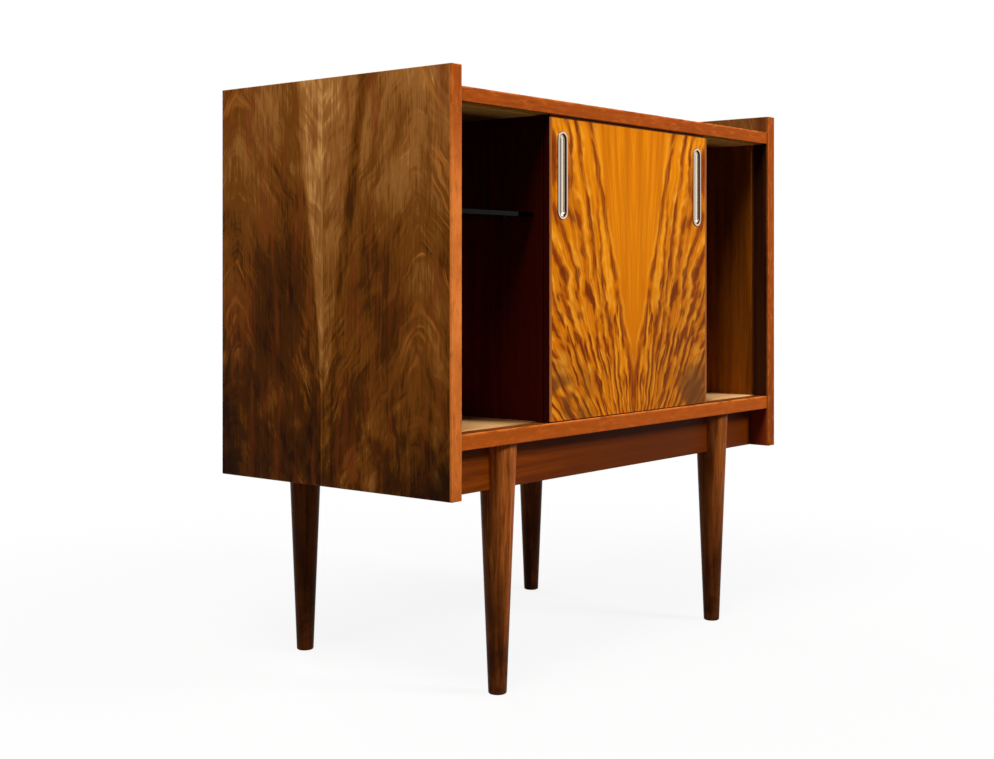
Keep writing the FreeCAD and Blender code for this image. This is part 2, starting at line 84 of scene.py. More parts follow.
# Turns, in degrees, that bring the grain to an axis of the object, or the seam across it
ALONG_X = (0.0, 90.0, 0.0)
ALONG_Z = (0.0, 0.0, 0.0)
SEAM_ACROSS_Y = (0.0, 0.0, 90.0)

# Shine and depth of relief: oiled wood mirrors little of the white studio
WOOD_SHEEN = 0.03
VENEER_SHEEN = 0.025
WOOD_RELIEF = 0.0003
VENEER_RELIEF = 0.0002
FIGURE_RELIEF_SHARE = 0.4
PORE_RELIEF_SHARE = 0.6
LINE_RELIEF_SHARE = 0.5
POLISH_RELIEF_SHARE = 0.12

# Straight-grained wood: shares of mottling and of wear, tones of pores and of worn edges
MOTTLE_SHARE = 0.35
WEAR_SHARE = 0.45
PORE_TONE = 0.45
WORN_TONE = 1.25

# Widths of worn edges on the boards and on the door, and from the outline of a pull to its crest
ARRIS_WEAR = 0.002
DOOR_ARRIS_WEAR = 0.0016
PULL_CREST = 0.0017

# Figure of the sides: place of the seam in the depth, form of the leaves and of their streaks
SIDE_SEAM = 0.012
SIDE_LEAF = {"Peak_Distance": 0.16, "Slope": 1.7, "Roundness": 0.008, "Waver": 0.10}
SIDE_STREAKS = {"Coarse": 26.0, "Length": 9.0}

# Figure of the door: form of the fan, foot and slope of the calm V, count and waviness of the flames
DOOR_FAN = {"Focus": 0.1, "Bend": 0.75, "Waver": 0.016}
V_FOOT = 0.010
V_SLOPE = 0.28
FLAME_COUNT = 11.5
FLAME_BEND = 2.4
FLAME_JAGS = 0.5
FLAME_WAVE = 0.18
LIGHT_LAG = 2.4

# Grain of the front lippings
LIPPING_GRAIN = {"Across": 230.0, "Along": 8.0}

# Glass that stays dark at its edge in the white studio
GLASS_TINT = (0.03, 0.03, 0.03, 1.0)
GLASS_REFRACTION = 1.25

# The floor: light that it throws back up, its own glow near the object, and where the glow is full
FLOOR_BOUNCE = 0.12
FLOOR_GLOW = 0.88
FLOOR_GLOW_START = 0.3
FLOOR_GLOW_END_SHARE = 0.25

# Soft boxes: place and width; their powers are settings of the stage
SOFT_BOXES = {
    "front": ((1.4, -3.2, 2.4), 1.0),
    "side": ((-2.0, -0.6, 3.6), 1.6),
    "back": ((1.2, 3.6, 2.2), 1.8),
}
LIGHT_TARGET_SHARE = 0.55


def shade(red, green, blue):
    """Turns screen values from 0 to 255 into the linear colour that a shader takes."""
    linear = []
    for value in (red, green, blue):
        part = value / 255
        linear.append(part / 12.92 if part <= 0.04045 else ((part + 0.055) / 1.055) ** 2.4)
    return tuple(linear)


def deeper(tone, share):
    """A colour with each part times a share, and at most 1."""
    return tuple(min(1.0, part * share) for part in tone)


def length(name, description, default):
    """A length that a user may change, in metres."""
    return FloatProperty(
        name=name, description=description, default=default, min=0.0, precision=5, unit="LENGTH"
    )


def power(name, description, default):
    """The power of a lamp that a user may change, in watts."""
    return FloatProperty(name=name, description=description, default=default, min=0.0, unit="POWER")


def colour(name, description, red, green, blue):
    """A colour that a user may change."""
    return FloatVectorProperty(
        name=name, description=description, subtype="COLOR", size=3, min=0.0, max=1.0,
        default=shade(red, green, blue),
    )


class CellaretteSizes(bpy.types.PropertyGroup):
    """Sizes of the small forms that the dressing adds."""

    board_easing: length("Board easing", "Width of the eased edges of the side boards", 0.0008)
    lipping_easing: length("Lipping easing", "Width of the eased edges of the lippings", 0.0009)
    rail_easing: length("Rail easing", "Width of the eased lower edges of the rails", 0.0012)
    lining_easing: length("Lining easing", "Width of the eased front edges of partitions and linings", 0.0005)
    glass_easing: length("Glass easing", "Width of the polished edges of the glass shelf", 0.0005)
    pin_radius: length("Pin radius", "Radius of the panel pins that hold the back", 0.0022)
    pin_height: length("Pin height", "How far a panel pin stands on the back", 0.0006)
    pin_inset: length("Pin inset", "Distance of the panel pins from the edge of the back", 0.006)
    pin_spacing: length("Pin spacing", "Widest distance between two panel pins", 0.13)


class CellaretteColours(bpy.types.PropertyGroup):
    """Colours of the finishes."""

    side_gold: colour("Side gold", "Golden lights of the sides", 214, 154, 84)
    side_flare: colour("Side flare", "Orange flares near the edges of the sides", 190, 112, 44)
    side_light: colour("Side light", "Light veneer of the sides", 160, 102, 46)
    side_middle: colour("Side middle", "Middle brown of the sides", 120, 67, 17)
    side_shade: colour("Side shade", "Shaded brown of the sides", 76, 38, 6)
    side_dark: colour("Side dark", "Dark figure of the sides", 40, 16, 2)
    side_red: colour("Side red", "Reddish streaks of the sides", 128, 58, 22)
    inside_light: colour("Inside light", "Plain inner faces of the sides", 74, 34, 14)
    inside_dark: colour("Inside dark", "Grain of the inner faces of the sides", 42, 18, 8)
    # Painted light: the inner faces below the case are lighter and redder where they lie in shade
    inside_red: colour("Inside red", "Inner faces of the sides below the case", 150, 58, 26)
    lipping_light: colour("Lipping light", "Light red brown of the front lippings", 246, 142, 64)
    lipping_warm: colour("Lipping warm", "Warm mottling of the front lippings", 184, 87, 22)
    lipping_dark: colour("Lipping dark", "Dark streaks of the front lippings", 152, 66, 10)
    case_light: colour("Case light", "Light veneer of the top and bottom", 168, 104, 50)
    case_dark: colour("Case dark", "Dark veneer of the top and bottom", 104, 56, 22)
    case_covered: colour("Case covered", "Stain of the bottom in front of its lining", 112, 50, 10)
    door_gold: colour("Door gold", "Calm golden ground of the door", 236, 139, 6)
    door_light: colour("Door light", "Light streaks of the door", 255, 178, 56)
    door_amber: colour("Door amber", "Deeper ground of the door", 202, 107, 1)
    door_copper: colour("Door copper", "Shaded ground between the flames", 176, 88, 6)
    door_brown: colour("Door brown", "Brown flame of the door", 138, 53, 1)
    door_dark: colour("Door dark", "Darkest flame of the door", 96, 34, 0)
    door_smudge: colour("Door smudge", "Grey brown smudges in the lower corners", 104, 58, 22)
    edge_light: colour("Door edge", "Lipping on the upright edges of the door", 178, 106, 50)
    edge_dark: colour("Door edge dark", "Dark lines of the door lipping", 138, 76, 26)
    # The partitions' near black tone is partly their dark stain and partly painted shade, and the lighter red
    # towards the back is painted light
    partition: colour("Partition", "Dark stained partitions", 74, 14, 6)
    partition_dark: colour("Partition dark", "Dark grain of the partitions", 50, 8, 3)
    partition_painted_light: colour("Partition thin", "Thin stain of the partitions towards the back", 168, 44, 22)
    lining_light: colour("Lining light", "Light floor lining", 250, 200, 138)
    lining_dark: colour("Lining dark", "Grain of the light lining", 222, 160, 92)
    # Painted shadow on the floor lining at the feet of the partitions
    lining_shading: colour("Lining soil", "Browned lining at the feet of the partitions", 84, 46, 22)
    # Painted light and shade: this tone makes the lining overhead browner, as in shade, and the underside of
    # the top in front of it lighter
    ceiling: colour("Ceiling", "Warm tone under the top, on its lining and in front of it", 255, 190, 88)
    wall_light: colour("Wall lining light", "Brown wall lining", 158, 84, 14)
    wall_dark: colour("Wall lining dark", "Grain of the wall lining", 104, 50, 6)
    back_light: colour("Back light", "Plain board of the back", 176, 134, 84)
    back_dark: colour("Back dark", "Grain of the back", 132, 94, 54)
    leg_light: colour("Leg light", "Lighter grain of the legs", 230, 126, 52)
    leg_dark: colour("Leg dark", "Dark grain of the legs", 100, 44, 10)
    rail_light: colour("Rail light", "Lighter grain of the rails", 146, 66, 2)
    rail_dark: colour("Rail dark", "Dark grain of the rails", 94, 37, 1)
    plain_light: colour("Plain wood", "Unstained wood of hidden parts", 198, 160, 110)
    plain_dark: colour("Plain wood dark", "Grain of hidden parts", 150, 112, 68)
    track_light: colour("Track light", "Stained runner and guide of the door", 96, 46, 14)
    track_dark: colour("Track dark", "Grain of the runner and guide", 62, 24, 5)
    glass: colour("Glass", "Tint of the glass shelf", 150, 180, 170)
    glass_edge: colour("Glass edge", "Dark green of the ground front edge of the glass", 8, 11, 10)
    chrome: colour("Bright metal", "Plated rim of the pulls", 236, 216, 194)
    # Painted reflections in the pulls: the bright, grey and mauve tones of the trough and the dull tone of
    # the flanks; the dull tone also gives fine tarnish spots
    chrome_bright_reflection: colour("Worn metal", "Walls of the trough that fingers keep bright", 240, 228, 206)
    chrome_grey: colour("Grey metal", "Bottom of the trough of the pulls", 128, 112, 110)
    chrome_mauve: colour("Mauve metal", "Tarnish on one wall of the trough", 116, 96, 106)
    chrome_dull: colour("Dull metal", "Tarnished flanks of the pulls", 84, 62, 48)
    steel: colour("Steel", "Browned steel of screws and pins", 92, 82, 72)
    floor: colour("Floor", "Plain pale floor", 206, 205, 203)


class CellaretteStage(bpy.types.PropertyGroup):
    """The camera and the lights."""

    camera_place: FloatVectorProperty(
        name="Camera place", description="Where the camera stands", size=3, subtype="TRANSLATION",
        unit="LENGTH", default=(-1.6627, -1.3168, 0.5130),
    )
    camera_turn: FloatProperty(
        name="Camera turn", description="Turn of the level camera about the upright axis", subtype="ANGLE",
        default=math.radians(-50.731),
    )
    focal_pixels: FloatProperty(
        name="Focal length", description="Focal length of the camera in pixels of the picture",
        default=1478.32,
    )
    horizon: FloatProperty(
        name="Horizon", description="Height of the horizon in pixels from the top", default=276.5
    )
    front_power: power("Front light", "Power of the soft box in front", 138.0)
    side_power: power("Side light", "Power of the soft box on the left", 154.0)
    back_power: power("Back light", "Power of the soft box behind", 70.0)
    ambient: FloatProperty(
        name="Ambient", description="Strength of the even light from all round", default=0.09
    )
    floor_radius: length("Floor radius", "Radius of the floor", 6.0)


class Wire:
    """A value that one node hands to others; a sum on wires adds the node that works it out."""

    def __init__(self, bench, socket):
        self.bench = bench
        self.socket = socket

    def __add__(self, other):
        return self.bench.math("ADD", self, other)

    def __sub__(self, other):
        return self.bench.math("SUBTRACT", self, other)

    def __rsub__(self, other):
        return self.bench.math("SUBTRACT", other, self)

    def __mul__(self, other):
        return self.bench.math("MULTIPLY", self, other)

    def __truediv__(self, other):
        return self.bench.math("DIVIDE", self, other)

    def __abs__(self):
        return self.bench.math("ABSOLUTE", self)

    def step(self, low, high, to_low=0.0, to_high=1.0):
        """A smooth step while this value goes from one place to another."""
        values = {"Value": self, "From Min": low, "From Max": high, "To Min": to_low, "To Max": to_high}
        return self.bench.wire("ShaderNodeMapRange", values, interpolation_type="SMOOTHSTEP")


class NodeBench:
    """A short way to add and join the nodes of one material or node group."""

    def __init__(self, tree):
        self.tree = tree

    def feed(self, socket, value):
        """Joins a wire to the input, or sets the input's own value."""
        if isinstance(value, Wire):
            self.tree.links.new(value.socket, socket)
        else:
            socket.default_value = value

    def add(self, kind, values=None, **settings):
        """Adds a node, sets it up and feeds its inputs, which are named or numbered."""
        node = self.tree.nodes.new(kind)
        for key, value in settings.items():
            setattr(node, key, value)
        for key, value in (values or {}).items():
            self.feed(node.inputs[key], value)
        return node

    def wire(self, kind, values=None, output=0, **settings):
        """Adds a node and gives the wire from one of its outputs."""
        return Wire(self, self.add(kind, values, **settings).outputs[output])

    def wires(self, node):
        """The wires from all outputs of a node, by name."""
        return {socket.name: Wire(self, socket) for socket in node.outputs}

    def math(self, operation, first, second=0.0, clamp=False):
        """The result of a sum on two values."""
        return self.wire("ShaderNodeMath", {0: first, 1: second}, operation=operation, use_clamp=clamp)

    def vector(self, operation, first, second):
        """The result of a sum on two vectors."""
        return self.wire("ShaderNodeVectorMath", {0: first, 1: second}, operation=operation)

    def size(self, vector):
        """The length of a vector."""
        return self.wire("ShaderNodeVectorMath", {0: vector}, "Value", operation="LENGTH")

    def parts(self, vector):
        """The three parts of a vector."""
        return tuple(self.wires(self.add("ShaderNodeSeparateXYZ", {"Vector": vector})).values())

    def combine(self, x, y, z=0.0):
        """A vector from three values."""
        return self.wire("ShaderNodeCombineXYZ", {"X": x, "Y": y, "Z": z})

    def most(self, first, *others):
        """The largest of some values."""
        for other in others:
            first = self.math("MAXIMUM", first, other)
        return first

    def least(self, first, *others):
        """The smallest of some values."""
        for other in others:
            first = self.math("MINIMUM", first, other)
        return first

    def noise(self, vector, scale, detail=2.0, roughness=0.5, distortion=0.0):
        """Noise from 0 to 1 over the surface."""
        values = {
            "Vector": vector, "Scale": scale, "Detail": detail, "Roughness": roughness,
            "Distortion": distortion,
        }
        return self.wire("ShaderNodeTexNoise", values)

    def drawn_noise(self, across, along, detail=2.0, roughness=0.5, distortion=0.0):
        """Noise drawn out along two values, each given with how often the noise changes along it."""
        place = self.combine(across[0] * across[1], along[0] * along[1])
        return self.noise(place, 1.0, detail, roughness, distortion)

    def total(self, *terms):
        """Noises added by weight about their middle of one half, so that the sum varies about it too."""
        result = 0.5
        for value, weight in terms:
            result = (value - 0.5) * weight + result
        return result

    def mix_value(self, share, first, second):
        """The first value, or the second where the share is 1."""
        return second * share + first * (1.0 - share)

    def mix(self, share, first, second):
        """A blend of two colours: the first, or the second where the share is 1."""
        tones = [tone if isinstance(tone, Wire) else (*tone, 1.0) for tone in (first, second)]
        values = {0: share, 6: tones[0], 7: tones[1]}
        return self.wire("ShaderNodeMix", values, 2, data_type="RGBA")

    def ramp(self, value, *stops):
        """A colour ramp; each stop is a place and a colour."""
        node = self.add("ShaderNodeValToRGB", {"Fac": value})
        node.color_ramp.interpolation = "EASE"
        elements = node.color_ramp.elements
        while len(elements) < len(stops):
            elements.new(0.5)
        for element, (place, tone) in zip(elements, stops):
            element.position = place
            element.color = (*tone, 1.0)
        return Wire(self, node.outputs["Color"])


def straight_grain(bench, given):
    """Straight grain along Z: broad figure, short dark pores and slow mottling."""
    stretch = bench.combine(given["Across"], given["Across"], given["Along"])
    along_grain = bench.vector("MULTIPLY", given["Vector"], stretch)
    pore_place = bench.vector("MULTIPLY", along_grain, (9.0, 9.0, 7.0))
    return {
        "Figure": bench.noise(along_grain, 1.0, 5.0, 0.62, 0.6).step(0.28, 0.72),
        "Pores": bench.noise(pore_place, 1.0, 2.0, 0.6).step(0.56, 0.72),
        "Mottle": bench.noise(given["Vector"], 16.0, 3.0, 0.55, 0.4).step(0.3, 0.7),
    }


def matched_leaf(bench, given):
    """A leaf matched at a seam at X 0: distance from the seam, height, and height along its peaked figure."""
    x, _, z = bench.parts(given["Vector"])
    across = abs(x)
    from_peak = across - given["Peak Distance"]
    squares = from_peak * from_peak + given["Roundness"] * given["Roundness"]
    fall = bench.math("SQRT", squares) * given["Slope"]
    waver = bench.noise(bench.combine(x, z), 13.0)
    return {"Across": across, "Height": z, "Figure Height": z + fall + (waver - 0.5) * given["Waver"]}


def fanned_figure(bench, given):
    """Lines that fan out from a seam at X 0 and bend upright: strayed distance, height and lean."""
    x, _, z = bench.parts(given["Vector"])
    across = abs(x)
    spread = bench.math("POWER", z + given["Focus"], given["Bend"])
    mirrored = bench.combine(across, z)
    slow = bench.noise(mirrored, 15.0, 1.0)
    ripple = bench.noise(mirrored, 62.0, 1.0)
    own = bench.noise(bench.combine(x, z), 27.0)
    waver = bench.total((slow, 1.0), (ripple, 0.3), (own, 0.5))
    strayed = across + (waver - 0.5) * given["Waver"]
    return {"Across": strayed, "Height": z, "Lean": strayed / spread, "Calm Lean": across / spread}


def figure_streaks(bench, given):
    """Streaks that follow the figure of a leaf, coarse and fine, and fine upright lines."""
    height = given["Height"]
    place = bench.combine(given["Figure Height"] * given["Coarse"], height * given["Length"])
    finer_place = bench.vector("MULTIPLY", place, (3.4, 2.6, 1.0))
    return {
        "Coarse": bench.noise(place, 1.0, 3.0, 0.55, 0.35),
        "Fine": bench.noise(finer_place, 1.0, 3.0, 0.6, 0.2),
        "Lines": bench.drawn_noise((given["Across"], 420.0), (height, 14.0), 3.0, 0.6, 0.3),
    }


def edge_wear(bench, given):
    """Wear along the edges of a board that is given by its two corners."""
    from_low = bench.vector("SUBTRACT", given["Vector"], given["Low"])
    from_high = bench.vector("SUBTRACT", given["High"], given["Vector"])
    x, y, z = bench.parts(bench.vector("MINIMUM", from_low, from_high))
    second = x + y + z - bench.most(x, y, z) - bench.least(x, y, z)
    rough = bench.noise(given["Vector"], 85.0, 3.0, 0.6)
    reach = given["Width"] * rough.step(0.35, 0.75, 0.15, 1.6)
    return {"Wear": 1.0 - bench.math("DIVIDE", second, reach, clamp=True)}


def hand_polish(bench, given):
    """Hand polish: cloudy gloss, faint smudges and a fine unevenness."""
    cloud = bench.noise(given["Vector"], 9.0, 4.0, 0.6, 0.5)
    fine = bench.noise(given["Vector"], 320.0)
    spread = (cloud - 0.5) * 0.28 + (fine - 0.5) * 0.08
    return {"Roughness": bench.math("ADD", given["Roughness"], spread, clamp=True), "Height": fine}


# The shared node groups: how each is filled, and its inputs with their defaults
GROUPS = {
    "Straight grain": (straight_grain, {"Vector": None, "Across": 90.0, "Along": 4.0}),
    "Book-matched leaf": (
        matched_leaf,
        {"Vector": None, "Peak Distance": 0.15, "Slope": 1.5, "Roundness": 0.02, "Waver": 0.02},
    ),
    "Fanned figure": (fanned_figure, {"Vector": None, "Focus": 0.1, "Bend": 0.75, "Waver": 0.02}),
    "Figure streaks": (
        figure_streaks, {"Across": 0.0, "Height": 0.0, "Figure Height": 0.0, "Coarse": 33.0, "Length": 8.0}
    ),
    "Edge wear": (
        edge_wear, {"Vector": None, "Low": (0.0, 0.0, 0.0), "High": (1.0, 1.0, 1.0), "Width": 0.003}
    ),
    "Polish": (hand_polish, {"Vector": None, "Roughness": 0.35}),
}


def shared_group(name):
    """A node group, made the first time it is asked for."""
    tree = bpy.data.node_groups.get(name)
    if tree is None:
        fill, inputs = GROUPS[name]
        tree = bpy.data.node_groups.new(name, "ShaderNodeTree")
        for label, default in inputs.items():
            kind = "NodeSocketFloat" if isinstance(default, float) else "NodeSocketVector"
            socket = tree.interface.new_socket(name=label, in_out="INPUT", socket_type=kind)
            if default is not None:
                socket.default_value = default
        bench = NodeBench(tree)
        results = fill(bench, bench.wires(bench.add("NodeGroupInput")))
        for label in results:
            tree.interface.new_socket(name=label, in_out="OUTPUT", socket_type="NodeSocketFloat")
        bench.add("NodeGroupOutput", results)
    return tree


class Finish:
    """One material with its bench, its shader, its colour and the object's own coordinates."""

    def __init__(self, name):
        material = bpy.data.materials.new(name)
        material.use_nodes = True
        material.node_tree.nodes.clear()
        self.bench = NodeBench(material.node_tree)
        self.shader = self.bench.add("ShaderNodeBsdfPrincipled")
        self.bench.add("ShaderNodeOutputMaterial", {"Surface": Wire(self.bench, self.shader.outputs[0])})
        self.place = self.bench.wire("ShaderNodeTexCoord", output="Object")
        self.tone = None

    def turned(self, turn=ALONG_Z, shift=(0.0, 0.0, 0.0)):
        """The coordinates turned, in degrees, so that the grain lies along their Z."""
        angles = tuple(math.radians(angle) for angle in turn)
        return self.bench.wire(
            "ShaderNodeMapping", {"Vector": self.place, "Location": shift, "Rotation": angles}
        )

    def use(self, name, **values):
        """Places a shared group; in the names of its inputs, underscores stand for spaces."""
        inputs = {key.replace("_", " "): value for key, value in values.items()}
        return self.bench.wires(self.bench.add("ShaderNodeGroup", inputs, node_tree=shared_group(name)))

    def wear(self, low, high, width):
        """Edge wear of a board between two corners; both boards of a mirrored pair share one finish."""
        x, y, z = self.bench.parts(self.place)
        mirrored = self.bench.combine(abs(x), y, z)
        return self.use("Edge wear", Vector=mirrored, Low=tuple(low), High=tuple(high), Width=width)["Wear"]

    def paint(self, tone):
        """Gives the shader its colour."""
        self.tone = tone
        self.bench.feed(self.shader.inputs["Base Color"], tone)

    def lay(self, share, tone):
        """Lays another colour over the present one, as far as the share says."""
        self.paint(self.bench.mix(share, self.tone, tone))

    def fix(self, name, value):
        """Sets a value of the shader that is the same all over."""
        self.shader.inputs[name].default_value = value

    def surface(self, roughness, height, distance, strength=0.5):
        """Joins polish and relief to the shader."""
        polish = self.use("Polish", Vector=self.place, Roughness=roughness)
        self.bench.feed(self.shader.inputs["Roughness"], polish["Roughness"])
        relief = height + polish["Height"] * POLISH_RELIEF_SHARE
        values = {"Strength": strength, "Distance": distance, "Height": relief}
        self.bench.feed(self.shader.inputs["Normal"], self.bench.wire("ShaderNodeBump", values))


def straight_wood(name, light, dark, turn, across, along, roughness, wear=None, pore_depth=0.5):
    """A plain wood with straight grain, pores, mottling and, where given, wear along its edges."""
    made = Finish(name)
    bench = made.bench
    grain = made.use("Straight grain", Vector=made.turned(turn), Across=across, Along=along)
    figure, pores = grain["Figure"], grain["Pores"]
    made.paint(bench.mix(figure, dark, light))
    made.lay(grain["Mottle"] * MOTTLE_SHARE, bench.mix(0.5, dark, light))
    made.lay(pores * pore_depth, deeper(dark, PORE_TONE))
    if wear:
        made.lay(made.wear(*wear) * WEAR_SHARE, deeper(light, WORN_TONE))
    height = figure * FIGURE_RELIEF_SHARE - pores * PORE_RELIEF_SHARE
    made.surface(roughness, height, WOOD_RELIEF)
    made.fix("Specular IOR Level", WOOD_SHEEN)
    return made


def side_veneer(name, colours):
    """Brown veneer in two matched leaves with soft peaks and a golden middle; plain on the inner faces."""
    made = Finish(name)
    bench = made.bench
    low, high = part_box("side_panel_right")
    leaf_place = made.turned(SEAM_ACROSS_Y, (SIDE_SEAM, 0.0, -low.z))
    leaf = made.use("Book-matched leaf", Vector=leaf_place, **SIDE_LEAF)
    across, height, figure = leaf["Across"], leaf["Height"], leaf["Figure Height"]
    streaks = made.use(
        "Figure streaks", Across=across, Height=height, Figure_Height=figure, **SIDE_STREAKS
    )
    x, depth, z = bench.parts(made.place)
    at_back = depth.step(SIDE_SEAM - 0.001, SIDE_SEAM + 0.001)
    at_front = 1.0 - at_back

    # Light and dark of the veneer: clouds, bands, flecks and the streaks of the figure
    clouds = bench.drawn_noise((depth, 11.0), (height, 7.0), 2.0, 0.55, 0.5)
    bands = bench.drawn_noise((depth, 34.0), (height, 2.4), 2.0, 0.5, 0.3)
    patches = bench.drawn_noise((depth, 34.0), (height, 20.0), 3.0, 0.6, 0.4)
    flecks = bench.drawn_noise((depth, 230.0), (height, 38.0), 2.0, 0.6, 0.3)
    broken = patches.step(0.35, 0.65)
    level = bench.total(
        (clouds, 0.65), (bands, 0.30), (streaks["Coarse"], 0.38), (flecks, 0.30), (streaks["Lines"], 0.36)
    )
    at_foot = across.step(0.07, 0.02) * height.step(0.24, 0.16) * height.step(0.06, 0.10)
    level += (streaks["Fine"] - 0.5) * broken * at_foot.step(0.0, 1.0, 0.6, 1.5)
    level += (patches - 0.55) * height.step(0.17, 0.04)
    # Painted light and shade: the veneer is darker towards the foot and lighter towards the top
    level += height.step(0.04, 0.50, -0.14, 0.09)

    # The golden middle widens upwards, with a dark crease along its front edge and shade on both sides
    reach = height.step(0.08, 0.62, 0.003, 0.056) + at_front * 0.012
    level += (across / reach).step(1.1, 0.7) * at_back.step(0.0, 1.0, 0.15, 0.28)
    crease = abs(across - reach * 1.15).step(0.013, 0.002) * at_front * height.step(0.20, 0.34)
    level -= crease * 0.20
    beside = across.step(0.02, 0.06) * across.step(0.16, 0.10)
    shaded = height.step(0.12, 0.22) * height.step(0.38, 0.30) * at_back.step(0.0, 1.0, 0.04, 0.10)
    level -= beside * shaded
    # Painted light and shade: lighter towards the front and darker towards the back
    level += depth.step(0.19, -0.19, -0.05, 0.05)
    stops = (
        (0.05, colours.side_dark), (0.32, colours.side_shade), (0.52, colours.side_middle),
        (0.74, colours.side_light), (0.95, colours.side_gold),
    )
    made.paint(bench.ramp(level, *stops))

    # Red streaks, orange flares by the edges, painted shade in the lower corners and the joint of the leaves
    reds = bench.drawn_noise((depth, 58.0), (height, 7.0), 2.0, 0.55, 0.4)
    made.lay(reds.step(0.50, 0.68, 0.0, 0.45), colours.side_red)
    flares = bench.drawn_noise((figure, 60.0), (height, 9.0), 1.0, 0.5, 0.3)
    flares = flares.step(0.56, 0.70) * across.step(0.11, 0.16) * (broken * height.step(0.12, 0.2))
    made.lay(flares * 0.75, colours.side_flare)
    corner = across.step(0.05, 0.2) * height.step(0.11, 0.0)
    made.lay(corner * 0.85, deeper(colours.side_dark, 0.2))
    joint = across.step(0.0022, 0.0004) * height.step(0.14, 0.2)
    made.lay(joint * 0.2, colours.side_gold)

    # Plain inner faces, with painted light: a lighter red below the case, where they lie in shade, and a
    # share of the veneer's tone above the top
    grain = made.use("Straight grain", Vector=made.place, Across=110.0, Along=4.0)
    plain = bench.mix(grain["Figure"], colours.inside_dark, colours.inside_light)
    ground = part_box("bottom_panel")[0].z
    plain = bench.mix(z.step(ground, ground - 0.004, 0.0, 0.85), plain, colours.inside_red)
    outer_face = abs(x).step(low.x + 0.001, low.x + 0.002)
    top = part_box("top_panel")[1].z
    shown = bench.most(outer_face, z.step(top - 0.001, top + 0.001, 0.0, 0.4))
    made.paint(bench.mix(shown, plain, made.tone))
    made.lay(made.wear(low, high, ARRIS_WEAR) * 0.3, colours.side_light)
    made.surface(roughness=0.42, height=streaks["Lines"] * -LINE_RELIEF_SHARE, distance=VENEER_RELIEF)
    made.fix("Specular IOR Level", VENEER_SHEEN)


def door_veneer(name, colours):
    """Golden veneer in two matched leaves, calm in a V in the middle, with broken brown flames beside it."""
    made = Finish(name)
    bench = made.bench
    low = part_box("door_panel")[0]
    fan = made.use("Fanned figure", Vector=made.turned(shift=(0.0, 0.0, -low.z)), **DOOR_FAN)
    across, height = fan["Across"], fan["Height"]
    beyond = across - (height * V_SLOPE - V_FOOT)
    outside = beyond.step(-0.002, 0.002)
    evened = bench.math("LOGARITHM", fan["Lean"] * 3.0 + 1.2, math.e)

    # Level of the flames: waves across the fan, bent, jagged and broken up towards the foot
    jagged = height.step(0.12, 0.27, 1.0, 0.25)
    bend = (bench.drawn_noise((evened, 5.0), (height, 9.0), 1.0) - 0.5) * FLAME_BEND
    jags = (bench.drawn_noise((evened, 9.0), (height, 66.0), 1.0) - 0.5) * FLAME_JAGS * jagged
    turns = (evened * FLAME_COUNT + (bend + jags)) * math.tau
    breaks = bench.drawn_noise((evened, 15.0), (height, 20.0), 1.0, 0.5, 0.5)
    licks = bench.drawn_noise((evened, 30.0), (height, 36.0), 2.0, 0.5, 0.3)
    level = bench.math("SINE", turns) * FLAME_WAVE + bench.total((breaks, 0.48), (licks, jagged * 1.25))
    right = bench.parts(made.place)[0].step(-0.12, 0.16)
    lower = height.step(0.34, 0.05)
    level += lower * right.step(0.0, 1.0, 0.0, 0.06)
    gleam = abs(beyond - 0.016).step(0.012, 0.003)
    level -= gleam * 0.10

    # Golden ground, and flames in three depths with a chain of them along the edge of the V
    lines = bench.drawn_noise((fan["Calm Lean"], 38.0), (height, 4.0), 3.0, 0.6, 0.3)
    calm = lines.step(0.26, 0.74) * height.step(0.03, 0.30, 0.35, 1.0)
    made.paint(bench.mix(calm, colours.door_amber, colours.door_gold))
    made.lay(gleam * 0.7, colours.door_gold)
    made.lay(level.step(0.40, 0.60) * outside * 0.68, colours.door_copper)
    beads = bench.drawn_noise((beyond, 70.0), (height, 24.0), 1.0, 0.5, 0.4)
    chain = abs(beyond - 0.003).step(0.0075, 0.0020) * beads.step(0.36, 0.54)
    flame = bench.most(level.step(0.58, 0.67) * outside, chain)
    made.lay(flame * 0.9, colours.door_brown)
    made.lay(level.step(0.68, 0.82) * outside * 0.7, colours.door_dark)

    # Light streaks beside the flames and within the edge of the V, and fine streaks all over
    beside = bench.math("SINE", turns + LIGHT_LAG).step(0.1, 0.95) * licks.step(0.56, 0.40)
    beside = beside * outside * (1.0 - flame)
    inner = abs(beyond + 0.006).step(0.0040, 0.0008, 0.0, 0.6) * beads.step(0.60, 0.42)
    made.lay(bench.most(beside, inner) * 0.48, colours.door_light)
    fine = bench.drawn_noise((evened, 90.0), (height, 10.0), 2.0, 0.6, 0.2)
    strength = outside.step(0.0, 1.0, 0.14, 0.28)
    made.lay(fine.step(0.5, 0.72) * strength, colours.door_brown)
    made.lay(fine.step(0.48, 0.30) * strength, colours.door_light)

    # Dark foot of the seam, smudged lower corners and a duller lower right
    foot = across.step(0.016, 0.0) * height.step(0.10, 0.03)
    made.lay(foot * 0.6, colours.door_brown)
    cloud = bench.noise(made.place, 13.0, 3.0, 0.6, 0.5)
    smudge = across.step(0.07, 0.14) * height.step(0.10, 0.03) * cloud.step(0.35, 0.6)
    dulled = right * lower * outside
    made.lay(bench.most(smudge * 0.9, dulled * 0.32), colours.door_smudge)
    made.surface(roughness=0.38, height=lines * -LINE_RELIEF_SHARE, distance=VENEER_RELIEF)
    made.fix("Specular IOR Level", VENEER_SHEEN)


